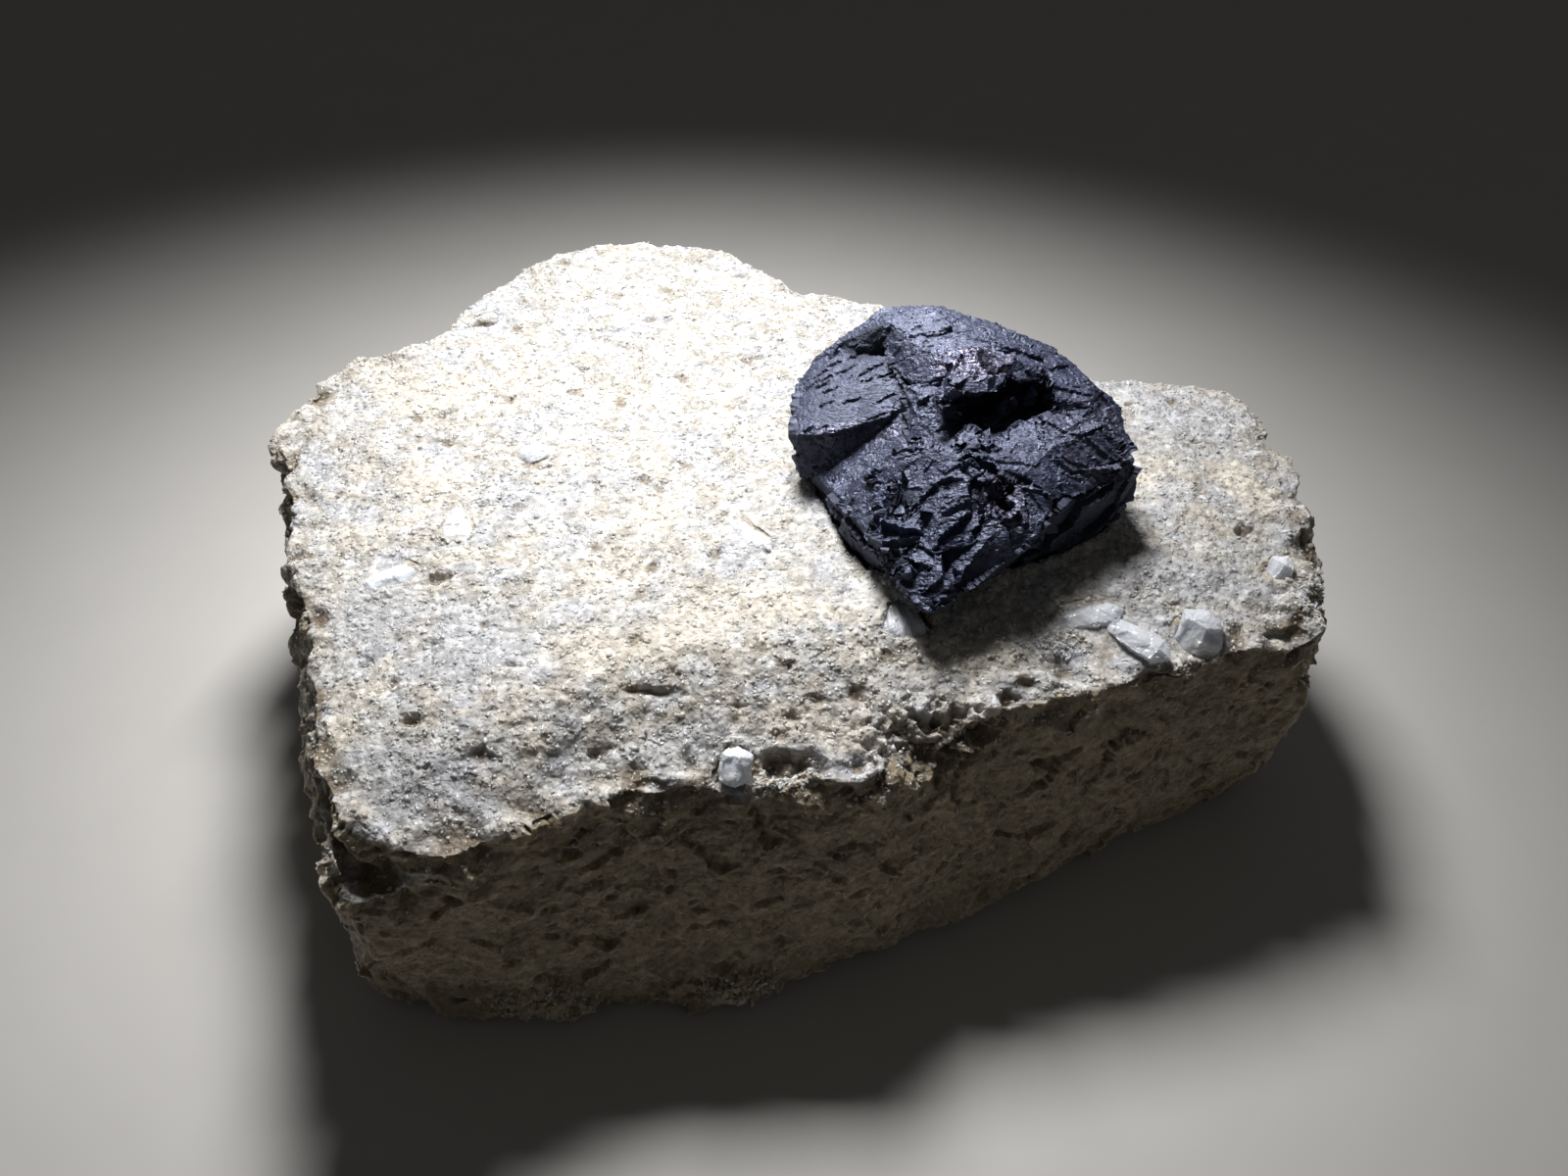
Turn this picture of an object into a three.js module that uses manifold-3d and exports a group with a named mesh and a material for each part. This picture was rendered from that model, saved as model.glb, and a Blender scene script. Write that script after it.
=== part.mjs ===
// Sphalerite specimen: one black sphalerite crystal and a few small quartz crystals on a loose
// block of pale, sugary rock, which stands on a flat broken base.
//
// Millimetres, +Z up, +X along the specimen's longest side, and -Y towards its broken front face.
// The origin lies on the base plane, close to under the middle of the specimen, and is moved
// exactly there at the end.

import * as THREE from "three";
import { ConvexGeometry } from "three/addons/geometries/ConvexGeometry.js";
import { ImprovedNoise } from "three/addons/math/ImprovedNoise.js";
import { mergeVertices } from "three/addons/utils/BufferGeometryUtils.js";
import Module from "manifold-3d";

const wasm = await Module();
wasm.setup();

// ---------------------------------------------------------------- driving dimensions

const PLATEAU_Z = 29; // height of the rock's top face
const TOP_RINGS = 19; // rings of triangles in the top face, six columns more in each
const COLUMNS = 6 * TOP_RINGS; // columns of triangles in the side walls
const WALL_ROWS = 8; // rows of triangles in the side walls
const MARGIN_START = 0.66; // share of the way out at which the top face starts to fall to its edge
const FOOT_INSET = 2.2; // how far the flat base stays inside the foot of the walls
const FOOT_HEIGHT = 2; // height of the broken chamfer round the base
const WALL_BULGE = 1.2; // how far the walls swell between edge and foot
const ROUGH_TOP = 0.45; // depth of the relief on the top face
const ROUGH_WALL = 1.4; // depth of the relief on the walls
const HEAVE_WALL = 3; // depth of the broad heaves in the walls behind the front face
const GAP = 0.35; // clearance between a crystal and its socket in the rock

// The edge of the top face, anticlockwise from the front left corner.
const BRINK = [
  // front edge, broken and lower than the rest
  [-32.5, -42.5, 24.6], [-28, -41, 24.8], [-23, -39.8, 25], [-17, -36.2, 25], [-11, -34, 25.3],
  [3, -33, 25.3], [8, -32.3, 25.3], [12.5, -29.5, 25.5], [18.5, -26.3, 26], [26, -24.7, 26.2],
  [34, -21.8, 26.2], [41, -19.6, 26.2], [46.7, -18.2, 25.4],
  // right edge
  [47.2, -13, 26.5], [48, -5.5, 27.5], [48.3, 2, 28], [47, 6, 28], [46.8, 10, 28], [44.2, 14.2, 28],
  // back edge: a low shoulder behind the crystal, then the high rounded lobe
  [38, 15, 28], [33, 14.3, 28], [27, 18, 28], [20, 24.5, 28], [10.8, 29.4, 28], [1.7, 31.4, 29],
  [-2, 36, 29], [-6, 39.7, 29], [-16.5, 42.7, 29], [-22, 40.4, 29], [-26.7, 37.7, 29],
  [-33.5, 28.3, 29], [-35.3, 22.2, 29], [-39.8, 19.2, 29], [-45, 16.9, 28.5],
  // left edge, with two bites
  [-48.6, 7.6, 28], [-48.8, 4.4, 27.5], [-45.5, -0.6, 28], [-43, -6, 28], [-42.7, -11.9, 28],
  [-38.2, -19.1, 27.5], [-37.2, -24, 27], [-34.9, -32, 27], [-33.2, -37.5, 26],
];

// The foot of the walls, anticlockwise from the front left corner.
const FOOT = [
  [-34.5, -38.2, 0], [-19.5, -39, 0], [-5.5, -38.6, 0], [1.4, -36, 0], [8.7, -33.9, 0],
  [22, -27.7, 0], [35.3, -20.7, 0], [47, -14.8, 0], [48, -4, 0], [46, 8, 0], [41, 19, 0],
  [27, 25, 0], [14, 33, 0], [0, 39, 0], [-14, 43, 0], [-27, 38, 0], [-36, 25, 0],
  [-45, 13, 0], [-46, 0, 0], [-42, -14, 0], [-38, -28, 0],
];

// ---------------------------------------------------------------- helpers

const noise = new ImprovedNoise();

// Fractal noise between about -1 and 1 at a point, with features of the given size.
function relief(point, size, octaves = 3) {
  let sum = 0;
  let weight = 1;
  for (let octave = 0; octave < octaves; octave++) {
    const scale = 2 ** octave / size;
    sum += weight * noise.noise(point.x * scale + 17, point.y * scale + 31, point.z * scale + 53);
    weight *= 0.5;
  }
  return sum;
}

// A closed BufferGeometry as a solid that can be joined and cut.
function solidOf(geometry) {
  const bare = new THREE.BufferGeometry().setAttribute("position", geometry.getAttribute("position"));
  if (geometry.index) bare.setIndex(geometry.index);
  const merged = mergeVertices(bare, 1e-4);
  return new wasm.Manifold(
    new wasm.Mesh({
      numProp: 3,
      vertProperties: new Float32Array(merged.getAttribute("position").array),
      triVerts: new Uint32Array(merged.index.array),
    }),
  );
}

// A solid's surface as a flat-shaded BufferGeometry.
function geometryOf(solid) {
  const mesh = solid.getMesh();
  const indexed = new THREE.BufferGeometry()
    .setAttribute("position", new THREE.BufferAttribute(new Float32Array(mesh.vertProperties), 3))
    .setIndex(new THREE.BufferAttribute(new Uint32Array(mesh.triVerts), 1));
  const faceted = indexed.toNonIndexed();
  faceted.computeVertexNormals();
  return faceted;
}

// The convex solid round some corner points.
function hull(corners) {
  return solidOf(new ConvexGeometry(corners.map((corner) => new THREE.Vector3(...corner))));
}

// Corner points moved out from their middle, so that the hull round them clears the first one by GAP.
function grown(corners, by = GAP) {
  const middle = corners
    .reduce((sum, corner) => sum.add(new THREE.Vector3(...corner)), new THREE.Vector3())
    .divideScalar(corners.length);
  return corners.map((corner) => {
    const out = new THREE.Vector3(...corner).sub(middle);
    const side = Math.hypot(out.x, out.y) || 1;
    const rise = out.z < 0 ? -1 : 1;
    return [
      corner[0] + (out.x / side) * by * 1.35,
      corner[1] + (out.y / side) * by * 1.35,
      corner[2] + rise * by,
    ];
  });
}

// A rough convex lump of rock, or the bite that such a lump leaves.
function lump([x, y, z], [rx, ry, rz], detail = 1) {
  const ball = new THREE.IcosahedronGeometry(1, detail);
  const position = ball.getAttribute("position");
  const corner = new THREE.Vector3();
  for (let i = 0; i < position.count; i++) {
    corner.fromBufferAttribute(position, i);
    const knobbly = 1 + 0.3 * relief(corner.clone().addScalar(x + y), 0.9, 1);
    position.setXYZ(i, x + corner.x * rx * knobbly, y + corner.y * ry * knobbly, z + corner.z * rz * knobbly);
  }
  return solidOf(ball);
}

// Where a ray from the origin at this angle crosses a closed outline that it sees whole.
function rimAt(outline, angle) {
  const ray = new THREE.Vector2(Math.cos(angle), Math.sin(angle));
  for (let i = 0; i < outline.length; i++) {
    const a = outline[i];
    const b = outline[(i + 1) % outline.length];
    const sideA = ray.x * a[1] - ray.y * a[0];
    const sideB = ray.x * b[1] - ray.y * b[0];
    if (sideA > 0 || sideB <= 0) continue;
    const share = sideA / (sideA - sideB);
    const crossing = new THREE.Vector3(...a).lerp(new THREE.Vector3(...b), share);
    if (crossing.x * ray.x + crossing.y * ray.y > 0) return crossing;
  }
  throw new Error("the outline doesn't close round the origin");
}

// ---------------------------------------------------------------- the block of rock

// A point of the top face: share 0 is its middle and share 1 its edge.
function topPoint(angle, share) {
  const edge = rimAt(BRINK, angle);
  const point = new THREE.Vector3(edge.x * share, edge.y * share, PLATEAU_Z);
  const swell = 0.5 * relief(point, 34, 2) + ROUGH_TOP * relief(point, 5);
  const fall = THREE.MathUtils.smoothstep(share, MARGIN_START, 1);
  point.z = THREE.MathUtils.lerp(PLATEAU_Z, edge.z, fall) + swell;
  return point;
}

// A point of the side wall: share 0 is the top edge and share 1 the foot.
function wallPoint(angle, share) {
  const edge = topPoint(angle, 1);
  const foot = rimAt(FOOT, angle);
  foot.z = FOOT_HEIGHT;
  const point = edge.clone().lerp(foot, share);
  const out = new THREE.Vector3(Math.cos(angle), Math.sin(angle), 0);
  const belly = Math.sin(Math.PI * share);
  const rough = ROUGH_WALL * relief(point, 13) * Math.min(1, 0.25 + 5 * share * (1 - share));
  const heave = HEAVE_WALL * relief(point, 27, 2) * belly * THREE.MathUtils.smoothstep(edge.y, -15, 10);
  return point.addScaledVector(out, WALL_BULGE * belly + rough + heave);
}

// A point of the flat base's outline.
function basePoint(angle) {
  const foot = wallPoint(angle, 1);
  const reach = Math.hypot(foot.x, foot.y);
  const inset = FOOT_INSET * (1 + 0.4 * relief(foot, 6, 2));
  foot.multiplyScalar((reach - inset) / reach);
  foot.z = 0;
  return foot;
}

function rockBlock() {
  const points = [];
  const faces = [];
  const add = (point) => points.push(point) - 1;
  const angleOf = (step, steps) => (2 * Math.PI * step) / steps;

  // Top face: rings of 6, 12, 18 ... points round the middle, so that all its triangles are alike.
  let inner = [add(topPoint(0, 0))];
  for (let ring = 1; ring <= TOP_RINGS; ring++) {
    const count = 6 * ring;
    const outer = Array.from({ length: count }, (_, step) =>
      add(topPoint(angleOf(step, count), ring / TOP_RINGS)),
    );
    for (let sector = 0; sector < 6; sector++) {
      for (let step = 0; step < ring; step++) {
        const here = sector * ring + step;
        const within = sector * (ring - 1) + step;
        const low = inner[within % inner.length];
        faces.push([low, outer[here], outer[(here + 1) % count]]);
        if (step < ring - 1) {
          faces.push([low, outer[(here + 1) % count], inner[(within + 1) % inner.length]]);
        }
      }
    }
    inner = outer;
  }

  // Walls: rows of points from the edge down to the foot, then the outline of the base.
  let upper = inner;
  for (let row = 1; row <= WALL_ROWS + 1; row++) {
    const lower = upper.map((_, column) => {
      const angle = angleOf(column, COLUMNS);
      return add(row > WALL_ROWS ? basePoint(angle) : wallPoint(angle, row / WALL_ROWS));
    });
    for (let column = 0; column < COLUMNS; column++) {
      const next = (column + 1) % COLUMNS;
      faces.push([upper[column], lower[column], lower[next]], [upper[column], lower[next], upper[next]]);
    }
    upper = lower;
  }

  // Base: one flat face.
  const outline = upper.map((index) => new THREE.Vector2(points[index].x, points[index].y));
  for (const [a, b, c] of THREE.ShapeUtils.triangulateShape(outline, [])) {
    faces.push([upper[a], upper[c], upper[b]]);
  }

  const geometry = new THREE.BufferGeometry().setFromPoints(points);
  geometry.setIndex(faces.flat());
  return solidOf(geometry);
}

// Bites broken out of the block's edges: [middle, radii].
const BITES = [
  [[-48.6, 1.2, 30], [2.6, 4.6, 4]], // upper notch of the left edge
  [[-42.2, -15.2, 29], [2.2, 3, 2.8]], // lower notch of the left edge
  [[6.6, -32.6, 27.6], [3.8, 3, 3]], // ragged hollow in the front edge
  [[11, -30.2, 28], [4, 3.4, 3.2]],
  [[15.6, -28.2, 28.4], [3.4, 3.4, 2.6]],
  [[10, -26.8, 29.6], [5, 2.6, 1.6]],
  [[1.6, -33.4, 26.4], [2.6, 1.4, 1.8]],
  [[-8.6, -33.8, 26.2], [3, 1.2, 1.4]],
  [[42.6, -18.8, 27.4], [3.6, 2.4, 2.6]], // broken front right corner
  [[47.8, -15.6, 27.2], [2.6, 3, 2.4]],
  [[48.8, -9.2, 28.8], [3.2, 2.8, 2.8]],
  [[41.2, -12, 29.8], [2.2, 1.8, 1.4]],
  [[44.2, -8.6, 30], [1.8, 1.6, 1.5]],
];

// Lumps that stand proud of the block: [middle, radii].
const LUMPS = [
  [[-25.5, -37.6, 2.4], [4.4, 1.9, 2.4]], // crust along the front foot
  [[-18.5, -37.8, 1.8], [3.2, 1.6, 2]],
  [[-12, -37.2, 1.5], [3, 1.4, 1.6]],
  [[-6.5, -37.4, 2.4], [3.4, 1.8, 2.4]],
  [[-1.8, -36.6, 1.6], [2.4, 1.6, 1.8]],
  [[44.2, -15, 25], [2.4, 2, 2.2]], // rough corner beside the right hollow
  [[46.2, -12, 25.2], [1.8, 2.2, 2.4]],
  [[45.8, -6, 26.4], [2.4, 2.6, 2.2]],
  [[19, -24, 25.2], [4.4, 2, 1.8]],
  [[30, -21.6, 25.2], [4.6, 1.8, 1.6]],
  [[-16, -34.6, 24], [4, 1.6, 1.8]],
  [[46.8, -9, 12], [1.8, 6, 6]], // swellings of the right wall
  [[46, 3, 9], [2.2, 6, 6]],
];

// Big flat breaks through the walls: the corners of what is gone.
const WALL_BREAKS = [
  [[-34, 50, 15], [4, 50, 12], [-34, 34, -2], [4, 37, -2], [-34, 50, -2], [4, 50, -2]],
  [[-54, -8, 22], [-54, 16, 16], [-44, -8, -2], [-41, 16, -2], [-54, -8, -2], [-54, 16, -2]],
  [[-46, 34, 22], [-24, 50, 22], [-38, 17, -2], [-22, 42, -2], [-48, 34, -2], [-24, 52, -2]],
  [[54, 2, 24], [48, 30, 24], [46.5, 2, -2], [33, 24, -2], [56, 2, -2], [52, 32, -2]],
  [[8, 44, 20], [34, 30, 18], [4, 34, -2], [26, 22.5, -2], [8, 46, -2], [36, 32, -2]],
  [[-45, -22, 17], [-41, -36, 15], [-36, -36, -2], [-41, -20, -2], [-50, -20, -2], [-46, -40, -2]],
];

// The broken front left corner: two chips that leave a low ledge, and what still stands on it.
const CORNER_CHIPS = [
  [
    [-31.4, -38, 22], [-27.6, -39.7, 22.3], [-23.2, -40.4, 23.2], [-34, -47, 20.6],
    [-21, -46, 22.6],
    [-31, -37.6, 31], [-27.4, -39.2, 31], [-23, -39.9, 31], [-34, -47, 31], [-21, -46, 31],
  ],
  [
    [-34.6, -33.6, 23.6], [-31, -38.2, 21.8], [-40, -36, 23], [-37, -45, 21],
    [-34.2, -33.2, 31], [-30.6, -37.8, 31], [-40, -36, 31], [-37, -45, 31],
  ],
];
const CORNER_REMNANTS = [
  [[-33, -37.4, 21.8], [1.2, 1.3, 2.2]],
  [[-25.2, -39.8, 21.8], [1.6, 0.9, 1.6]],
  [[-29.8, -39.4, 21.2], [1.6, 0.9, 1.2]],
];

// ---------------------------------------------------------------- the sphalerite crystal

// The crystal is an intergrowth of blunt cleavage blocks. Its root sits in the rock.
const ROOT = [
  [4.4, -4.6, 26], [5.8, -9.6, 26], [7.6, -13, 26], [11.6, -15, 26], [16, -14.6, 26],
  [21, -12.4, 26],
  [25, -10.4, 26], [28.2, -8, 26], [29, -4, 26], [27.4, 0.4, 26], [22, 3.6, 26], [14, 6.4, 26],
  [7, 6.4, 26], [3.8, 3.4, 26], [3.4, -1, 26],
  [3.8, -4.2, 31], [5, -8, 31], [6.6, -11.8, 31], [8.6, -14.8, 31], [12, -16.2, 31], [15, -16, 31],
  [18.3, -14.8, 31], [21.6, -13.2, 31], [25.4, -11.4, 31], [28.8, -8.8, 31], [29.6, -5, 31],
  [29.2, -1.4, 31], [26.6, 1.2, 31], [22, 3.8, 31], [14, 6.8, 31], [7, 6.8, 31], [3.6, 4, 31],
  [2.8, -0.6, 31],
];

// Each block: the corners of its top, the level of its foot, and the share to which it has shrunk
// there.
const BLOCKS = {
  core: {
    foot: 30, taper: 0.95,
    corners: [
      [3.4, -4, 31.4], [5.6, -7.8, 31.8], [8.4, -8.4, 33.4], [10.6, -4.8, 35], [12.4, -6, 36.4],
      [14, -8.2, 37.2], [18.6, -9.6, 37.2], [22.6, -13.2, 35], [28, -8.4, 35.4], [28.6, -3, 36.6],
      [26, 0, 37.6], [20, 4.2, 38.8], [11.5, 6.2, 38.6], [4.6, 5.8, 35],
    ],
  },
  shelf: {
    foot: 30, taper: 0.95, // upper left: a tilted shelf with a sharp front brink
    corners: [
      [1.7, -2.8, 35], [3.8, -3.5, 35.2], [6.6, -3.2, 35.8], [11.2, -2.2, 37.4], [11.6, 0.4, 38.8],
      [9.6, 2.7, 39.5], [5, 5.2, 38], [3.2, 6, 36.8], [2, 4.5, 35.8],
    ],
  },
  facet: {
    foot: 30, taper: 0.97, // the steep dark face between shelf and ridge
    corners: [
      [6.3, 4.4, 38.2], [9.7, 3.3, 39], [9.7, 4.3, 41.6], [9.2, 6.8, 41.6], [8.1, 6.1, 41],
      [6.8, 5.8, 40], [5.5, 5.4, 39], [4.6, 5.4, 38.2], [3.3, 5.7, 37.2], [10.6, 3.8, 39],
      [10.6, 6.2, 40.6],
    ],
  },
  ridge: {
    foot: 30, taper: 0.97, // back: the high ridge, falling from left to right
    corners: [
      [9.8, 3.4, 40.2], [9.7, 4.3, 41.7], [9.2, 6.8, 41.7], [10.4, 7, 41.7], [12, 6.6, 42],
      [13.8, 6.2, 42.5], [15.8, 5.6, 42.2], [18.8, 4.8, 41.6], [21.8, 3.8, 40.8],
      [24.4, 3.2, 40], [26.1, 2, 39], [27.2, 0.4, 38.3], [27.9, -1.1, 38], [24.5, -1.8, 39.8],
      [20.3, -1.6, 41.3], [15, -2.4, 41.2], [12.4, -1.6, 39.6], [11.2, -0.4, 39],
      [9.8, 2.4, 39.8],
    ],
  },
  hump: {
    foot: 32, taper: 1, // between the shelf and the cavity
    corners: [
      [10.8, -1.4, 38.8], [12.4, -3.6, 39.2], [13.8, -4.6, 39.2], [11.9, -5.2, 38],
      [13.2, -6.7, 37.6],
      [11.3, -5.6, 36.6], [14.4, -6, 38.2], [15.4, -4.4, 39], [14, -1.4, 40],
    ],
  },
  saddle: {
    foot: 30, taper: 1, // middle: the low ground below the cavity
    corners: [
      [12.4, -6, 37], [14, -4, 37.6], [24.4, -3.8, 37.9], [13.2, -8.6, 37.6], [12.8, -9.8, 38.1],
      [16.6, -10.6, 38.3], [20.2, -11.8, 37.8], [22.6, -5, 38], [24, 0, 37], [14, 0, 37],
    ],
  },
  knob: {
    foot: 36, taper: 1, // two small blocks in the saddle, below the cavity's mouth
    corners: [
      [14.4, -7.8, 38.3], [15.6, -7, 39], [16.6, -7.6, 38.9], [16.2, -9, 38.8], [14.8, -9, 38.9],
    ],
  },
  knobRight: {
    foot: 36, taper: 0.9,
    corners: [[16.4, -8.6, 38.9], [17.6, -7.8, 39.1], [18.4, -8.8, 38.7], [17.2, -9.8, 39]],
  },
  step: {
    foot: 35, taper: 1, // right of the cavity
    corners: [
      [23.2, -2.2, 40.2], [26.6, -1.2, 39.9], [27.8, -2.4, 39], [26.9, -3.9, 38.8],
      [23.6, -4.3, 39.2],
    ],
  },
  shoulder: {
    foot: 30, taper: 0.99, // right: broad, striated and sloping outwards
    corners: [
      [21.6, -5.6, 38.8], [24.2, -3.6, 38.9], [27.6, -2.6, 38.6], [28.4, -1, 38.2],
      [29.5, -2.2, 37.6],
      [30, -5.4, 36.6], [30.3, -7.6, 35.6], [29.8, -8.8, 35], [26.6, -10.2, 35.9],
      [24.7, -11.6, 35.7],
      [22.4, -13.2, 36], [20, -12, 37.6], [19, -7, 38.5],
    ],
  },
  rib: {
    foot: 33, taper: 1, // raised band across the shoulder
    corners: [
      [21.8, -6.2, 39.3], [23.6, -5.2, 39.5], [27.4, -6.4, 38.6], [29.4, -8.2, 36.6],
      [27, -9.6, 36.7],
      [24.2, -10.6, 36.9], [22, -9.4, 38.2],
    ],
  },
  nose: {
    foot: 30, taper: 0.62, // front: the big lower block, whose nose hangs over the rock
    corners: [
      [8.2, -9.4, 35.4], [10.4, -10.6, 35.6], [13, -11, 36.9], [16.6, -11.3, 37.8],
      [20.2, -12.8, 37.2], [22.2, -14.2, 35.8], [21.2, -15.9, 35], [19, -17.4, 34],
      [16.4, -19, 32.9], [13.8, -20.6, 31.8], [12, -21.6, 31.4], [10.4, -19.8, 31.3],
      [8.4, -16.6, 31.9], [7.2, -14, 32.6], [6, -10.6, 33.4],
    ],
  },
  crest: {
    foot: 33, taper: 1, // the nose's upper left crest, with one bright flat face
    corners: [
      [9, -8.2, 37.2], [10.3, -8.6, 37.9], [11.7, -8.7, 38.3], [13.4, -9.3, 38.7],
      [16, -10.4, 38.8], [12.4, -11.8, 37], [10.3, -11.4, 36.5], [8.9, -11, 36],
      [7.4, -9.6, 35.6],
    ],
  },
  slope: {
    foot: 31, taper: 0.9, // rough slope down to the left of the crest
    corners: [
      [7.4, -8.4, 35.4], [9.3, -9.8, 36.7], [9.1, -12.2, 35.3], [8.6, -13, 34.5],
      [6.2, -11.4, 32.8], [5.4, -9.6, 32.5], [6, -7.6, 33.4],
    ],
  },
  slab: {
    foot: 33, taper: 0.97, // broad grey slab below the crest
    corners: [
      [12.3, -11.3, 37.3], [13.6, -11.2, 37.7], [15.8, -11, 38.3], [17.2, -12.2, 37.5],
      [16.6, -13.8, 36.7], [13.4, -14.6, 35.9], [11.2, -13.4, 35.9],
    ],
  },
  lowerSlab: {
    foot: 33, taper: 0.97, // and the lower slab towards the tip
    corners: [
      [11.4, -13.4, 35.6], [13.6, -13.4, 36.1], [16.9, -13.2, 36.6], [17, -14.4, 36.2],
      [15.4, -16.7, 34.7], [12.8, -17, 34.2], [11.6, -16, 34.6],
    ],
  },
  cheek: {
    foot: 33, taper: 0.95, // right of the pit
    corners: [
      [19.5, -12.7, 37.5], [22.4, -13.2, 36.9], [22.3, -14.3, 36.2], [21.3, -15.6, 35.4],
      [20.1, -15.9, 35.1], [19.4, -14, 36.3],
    ],
  },
  rearLeft: {
    foot: 30, taper: 0.94, // three blocks step down behind the ridge
    corners: [
      [3.6, 6.2, 35.6], [5.6, 8, 35.8], [10, 9, 37], [14.4, 8, 37.8], [13.6, 6, 41.6],
      [9.6, 6.4, 40.8], [5, 5.8, 37.4],
    ],
  },
  rearMiddle: {
    foot: 30, taper: 1,
    corners: [[11, 10.4, 34], [18.6, 9.4, 33.2], [21.6, 6.8, 34.6], [20, 5, 36.4], [12, 7, 36.6]],
  },
  rearRight: {
    foot: 30, taper: 0.96,
    corners: [
      [17, 7, 36.8], [22, 5.8, 35.8], [27.2, 3.2, 34.6], [29, 0.2, 34.4], [27, 0.4, 37.6],
      [21, 3, 40], [16.6, 5, 40.8],
    ],
  },
  flank: {
    foot: 30, taper: 0.97, // the nose's dark left flank, below the shelf's brink
    corners: [
      [4, -5.2, 31.6], [6, -8, 32.6], [6.6, -11.2, 33], [7.8, -14.2, 32.2], [9.4, -16, 31.4],
      [12, -12, 34], [9, -7.4, 33.8],
    ],
  },
};

// Middle: a peak of three lobes, whose lower lip overhangs a cavity.
const PEAK = [
  [
    [16.1, -1.5, 43.3], [15.1, -2.9, 42.8], [14, -5.1, 41.8], [13.2, -6.4, 41],
    [12.7, -6.7, 40.4], [14, -6.2, 40.6], [15.2, -5.8, 41], [16.4, -4.4, 42.2],
    [13.6, -3.6, 40.4], [15.6, -3, 39.2], [17, -1, 42],
  ],
  [
    [16.2, -1.5, 43.2], [17.9, -2.4, 42.8], [16.3, -4, 42.3], [18.4, -4.2, 42.2],
    [15.4, -5.5, 41.3], [16.9, -5.6, 41.1], [18, -5.4, 41.2], [18.9, -4.6, 41.5],
    [19.6, -2.2, 42.3], [16, -2.6, 39.6], [19, -2.2, 39.8], [17.6, -0.8, 41.8],
  ],
  [
    [17.8, -2.2, 42.8], [19.8, -2.4, 42.5], [21.1, -2.5, 42.1], [19, -3.8, 41.9],
    [19.8, -4.2, 41.5], [20.9, -3.4, 41.6], [22, -2.9, 41.4], [22.8, -3.1, 41],
    [23.3, -3.2, 40.5], [20, -0.8, 41.8], [23.2, -0.4, 40.2], [20, -1.9, 39.8],
    [22.7, -1.5, 39.4],
  ],
];

// Small cleavage steps: ledges and treads down the nose, laminae at its tip, then two slabs on
// the ridge.
const STEPS = [
  [
    [9.2, -11.2, 36.4], [10.2, -11, 36.8], [12.2, -11.2, 37.1], [11.5, -12.9, 36.1],
    [9.4, -12.6, 35.9], [10, -11.6, 35.2], [11.6, -12, 35.2],
  ],
  [
    [8.4, -12.4, 35.2], [10.4, -12.8, 35.6], [11.8, -13.2, 35.9], [10.8, -14, 35.2],
    [8.7, -13.5, 34.8], [9, -12.8, 34],
    [11, -13.4, 34.2],
  ],
  [
    [7.5, -14.2, 34.1], [8.4, -13.1, 34.7], [9.9, -13.8, 34.9], [11.5, -15.1, 35],
    [11.4, -15.9, 34.6], [8.4, -15.9, 34], [8.2, -14.6, 31.5], [11, -15, 32],
  ],
  [
    [10.3, -17.6, 33.4], [10.6, -16.2, 33.8], [11.9, -15.9, 34.3], [13, -17.2, 33.8],
    [12, -18.5, 33.1], [10.8, -16.8, 32], [12.4, -17, 32],
  ],
  [
    [8.2, -16.5, 33], [8.5, -16, 33.2], [10.2, -16, 33.5], [10.5, -17.3, 32.9],
    [9.3, -18, 32.4], [8.9, -16.6, 31.2], [10.2, -17, 31.2],
  ],
  [
    [9.9, -18.5, 32.5], [12.3, -18, 33.2], [14.6, -18.6, 33.5], [14, -19.7, 32.8],
    [11, -19.7, 32.3], [10.8, -18.6, 31], [13.6, -18.8, 31],
  ],
  [
    [10.6, -19.8, 32], [13.9, -19.5, 32.8], [14.4, -20, 32.5], [12, -21.2, 31.8],
    [11.6, -19.8, 30.8], [13.4, -19.8, 30.8],
  ],
  [
    [17.8, 3.4, 42.2], [21.4, 2.1, 41.4], [23.2, 0.4, 40.9], [19, 0.2, 42], [19, 2, 38],
    [22, 1, 38],
  ],
  [
    [11, 5.6, 42.2], [14.2, 5.2, 42.8], [15.2, 2.6, 42.5], [11.6, 1.8, 41.3], [12, 5, 38],
    [14, 4, 38],
  ],
];

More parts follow.
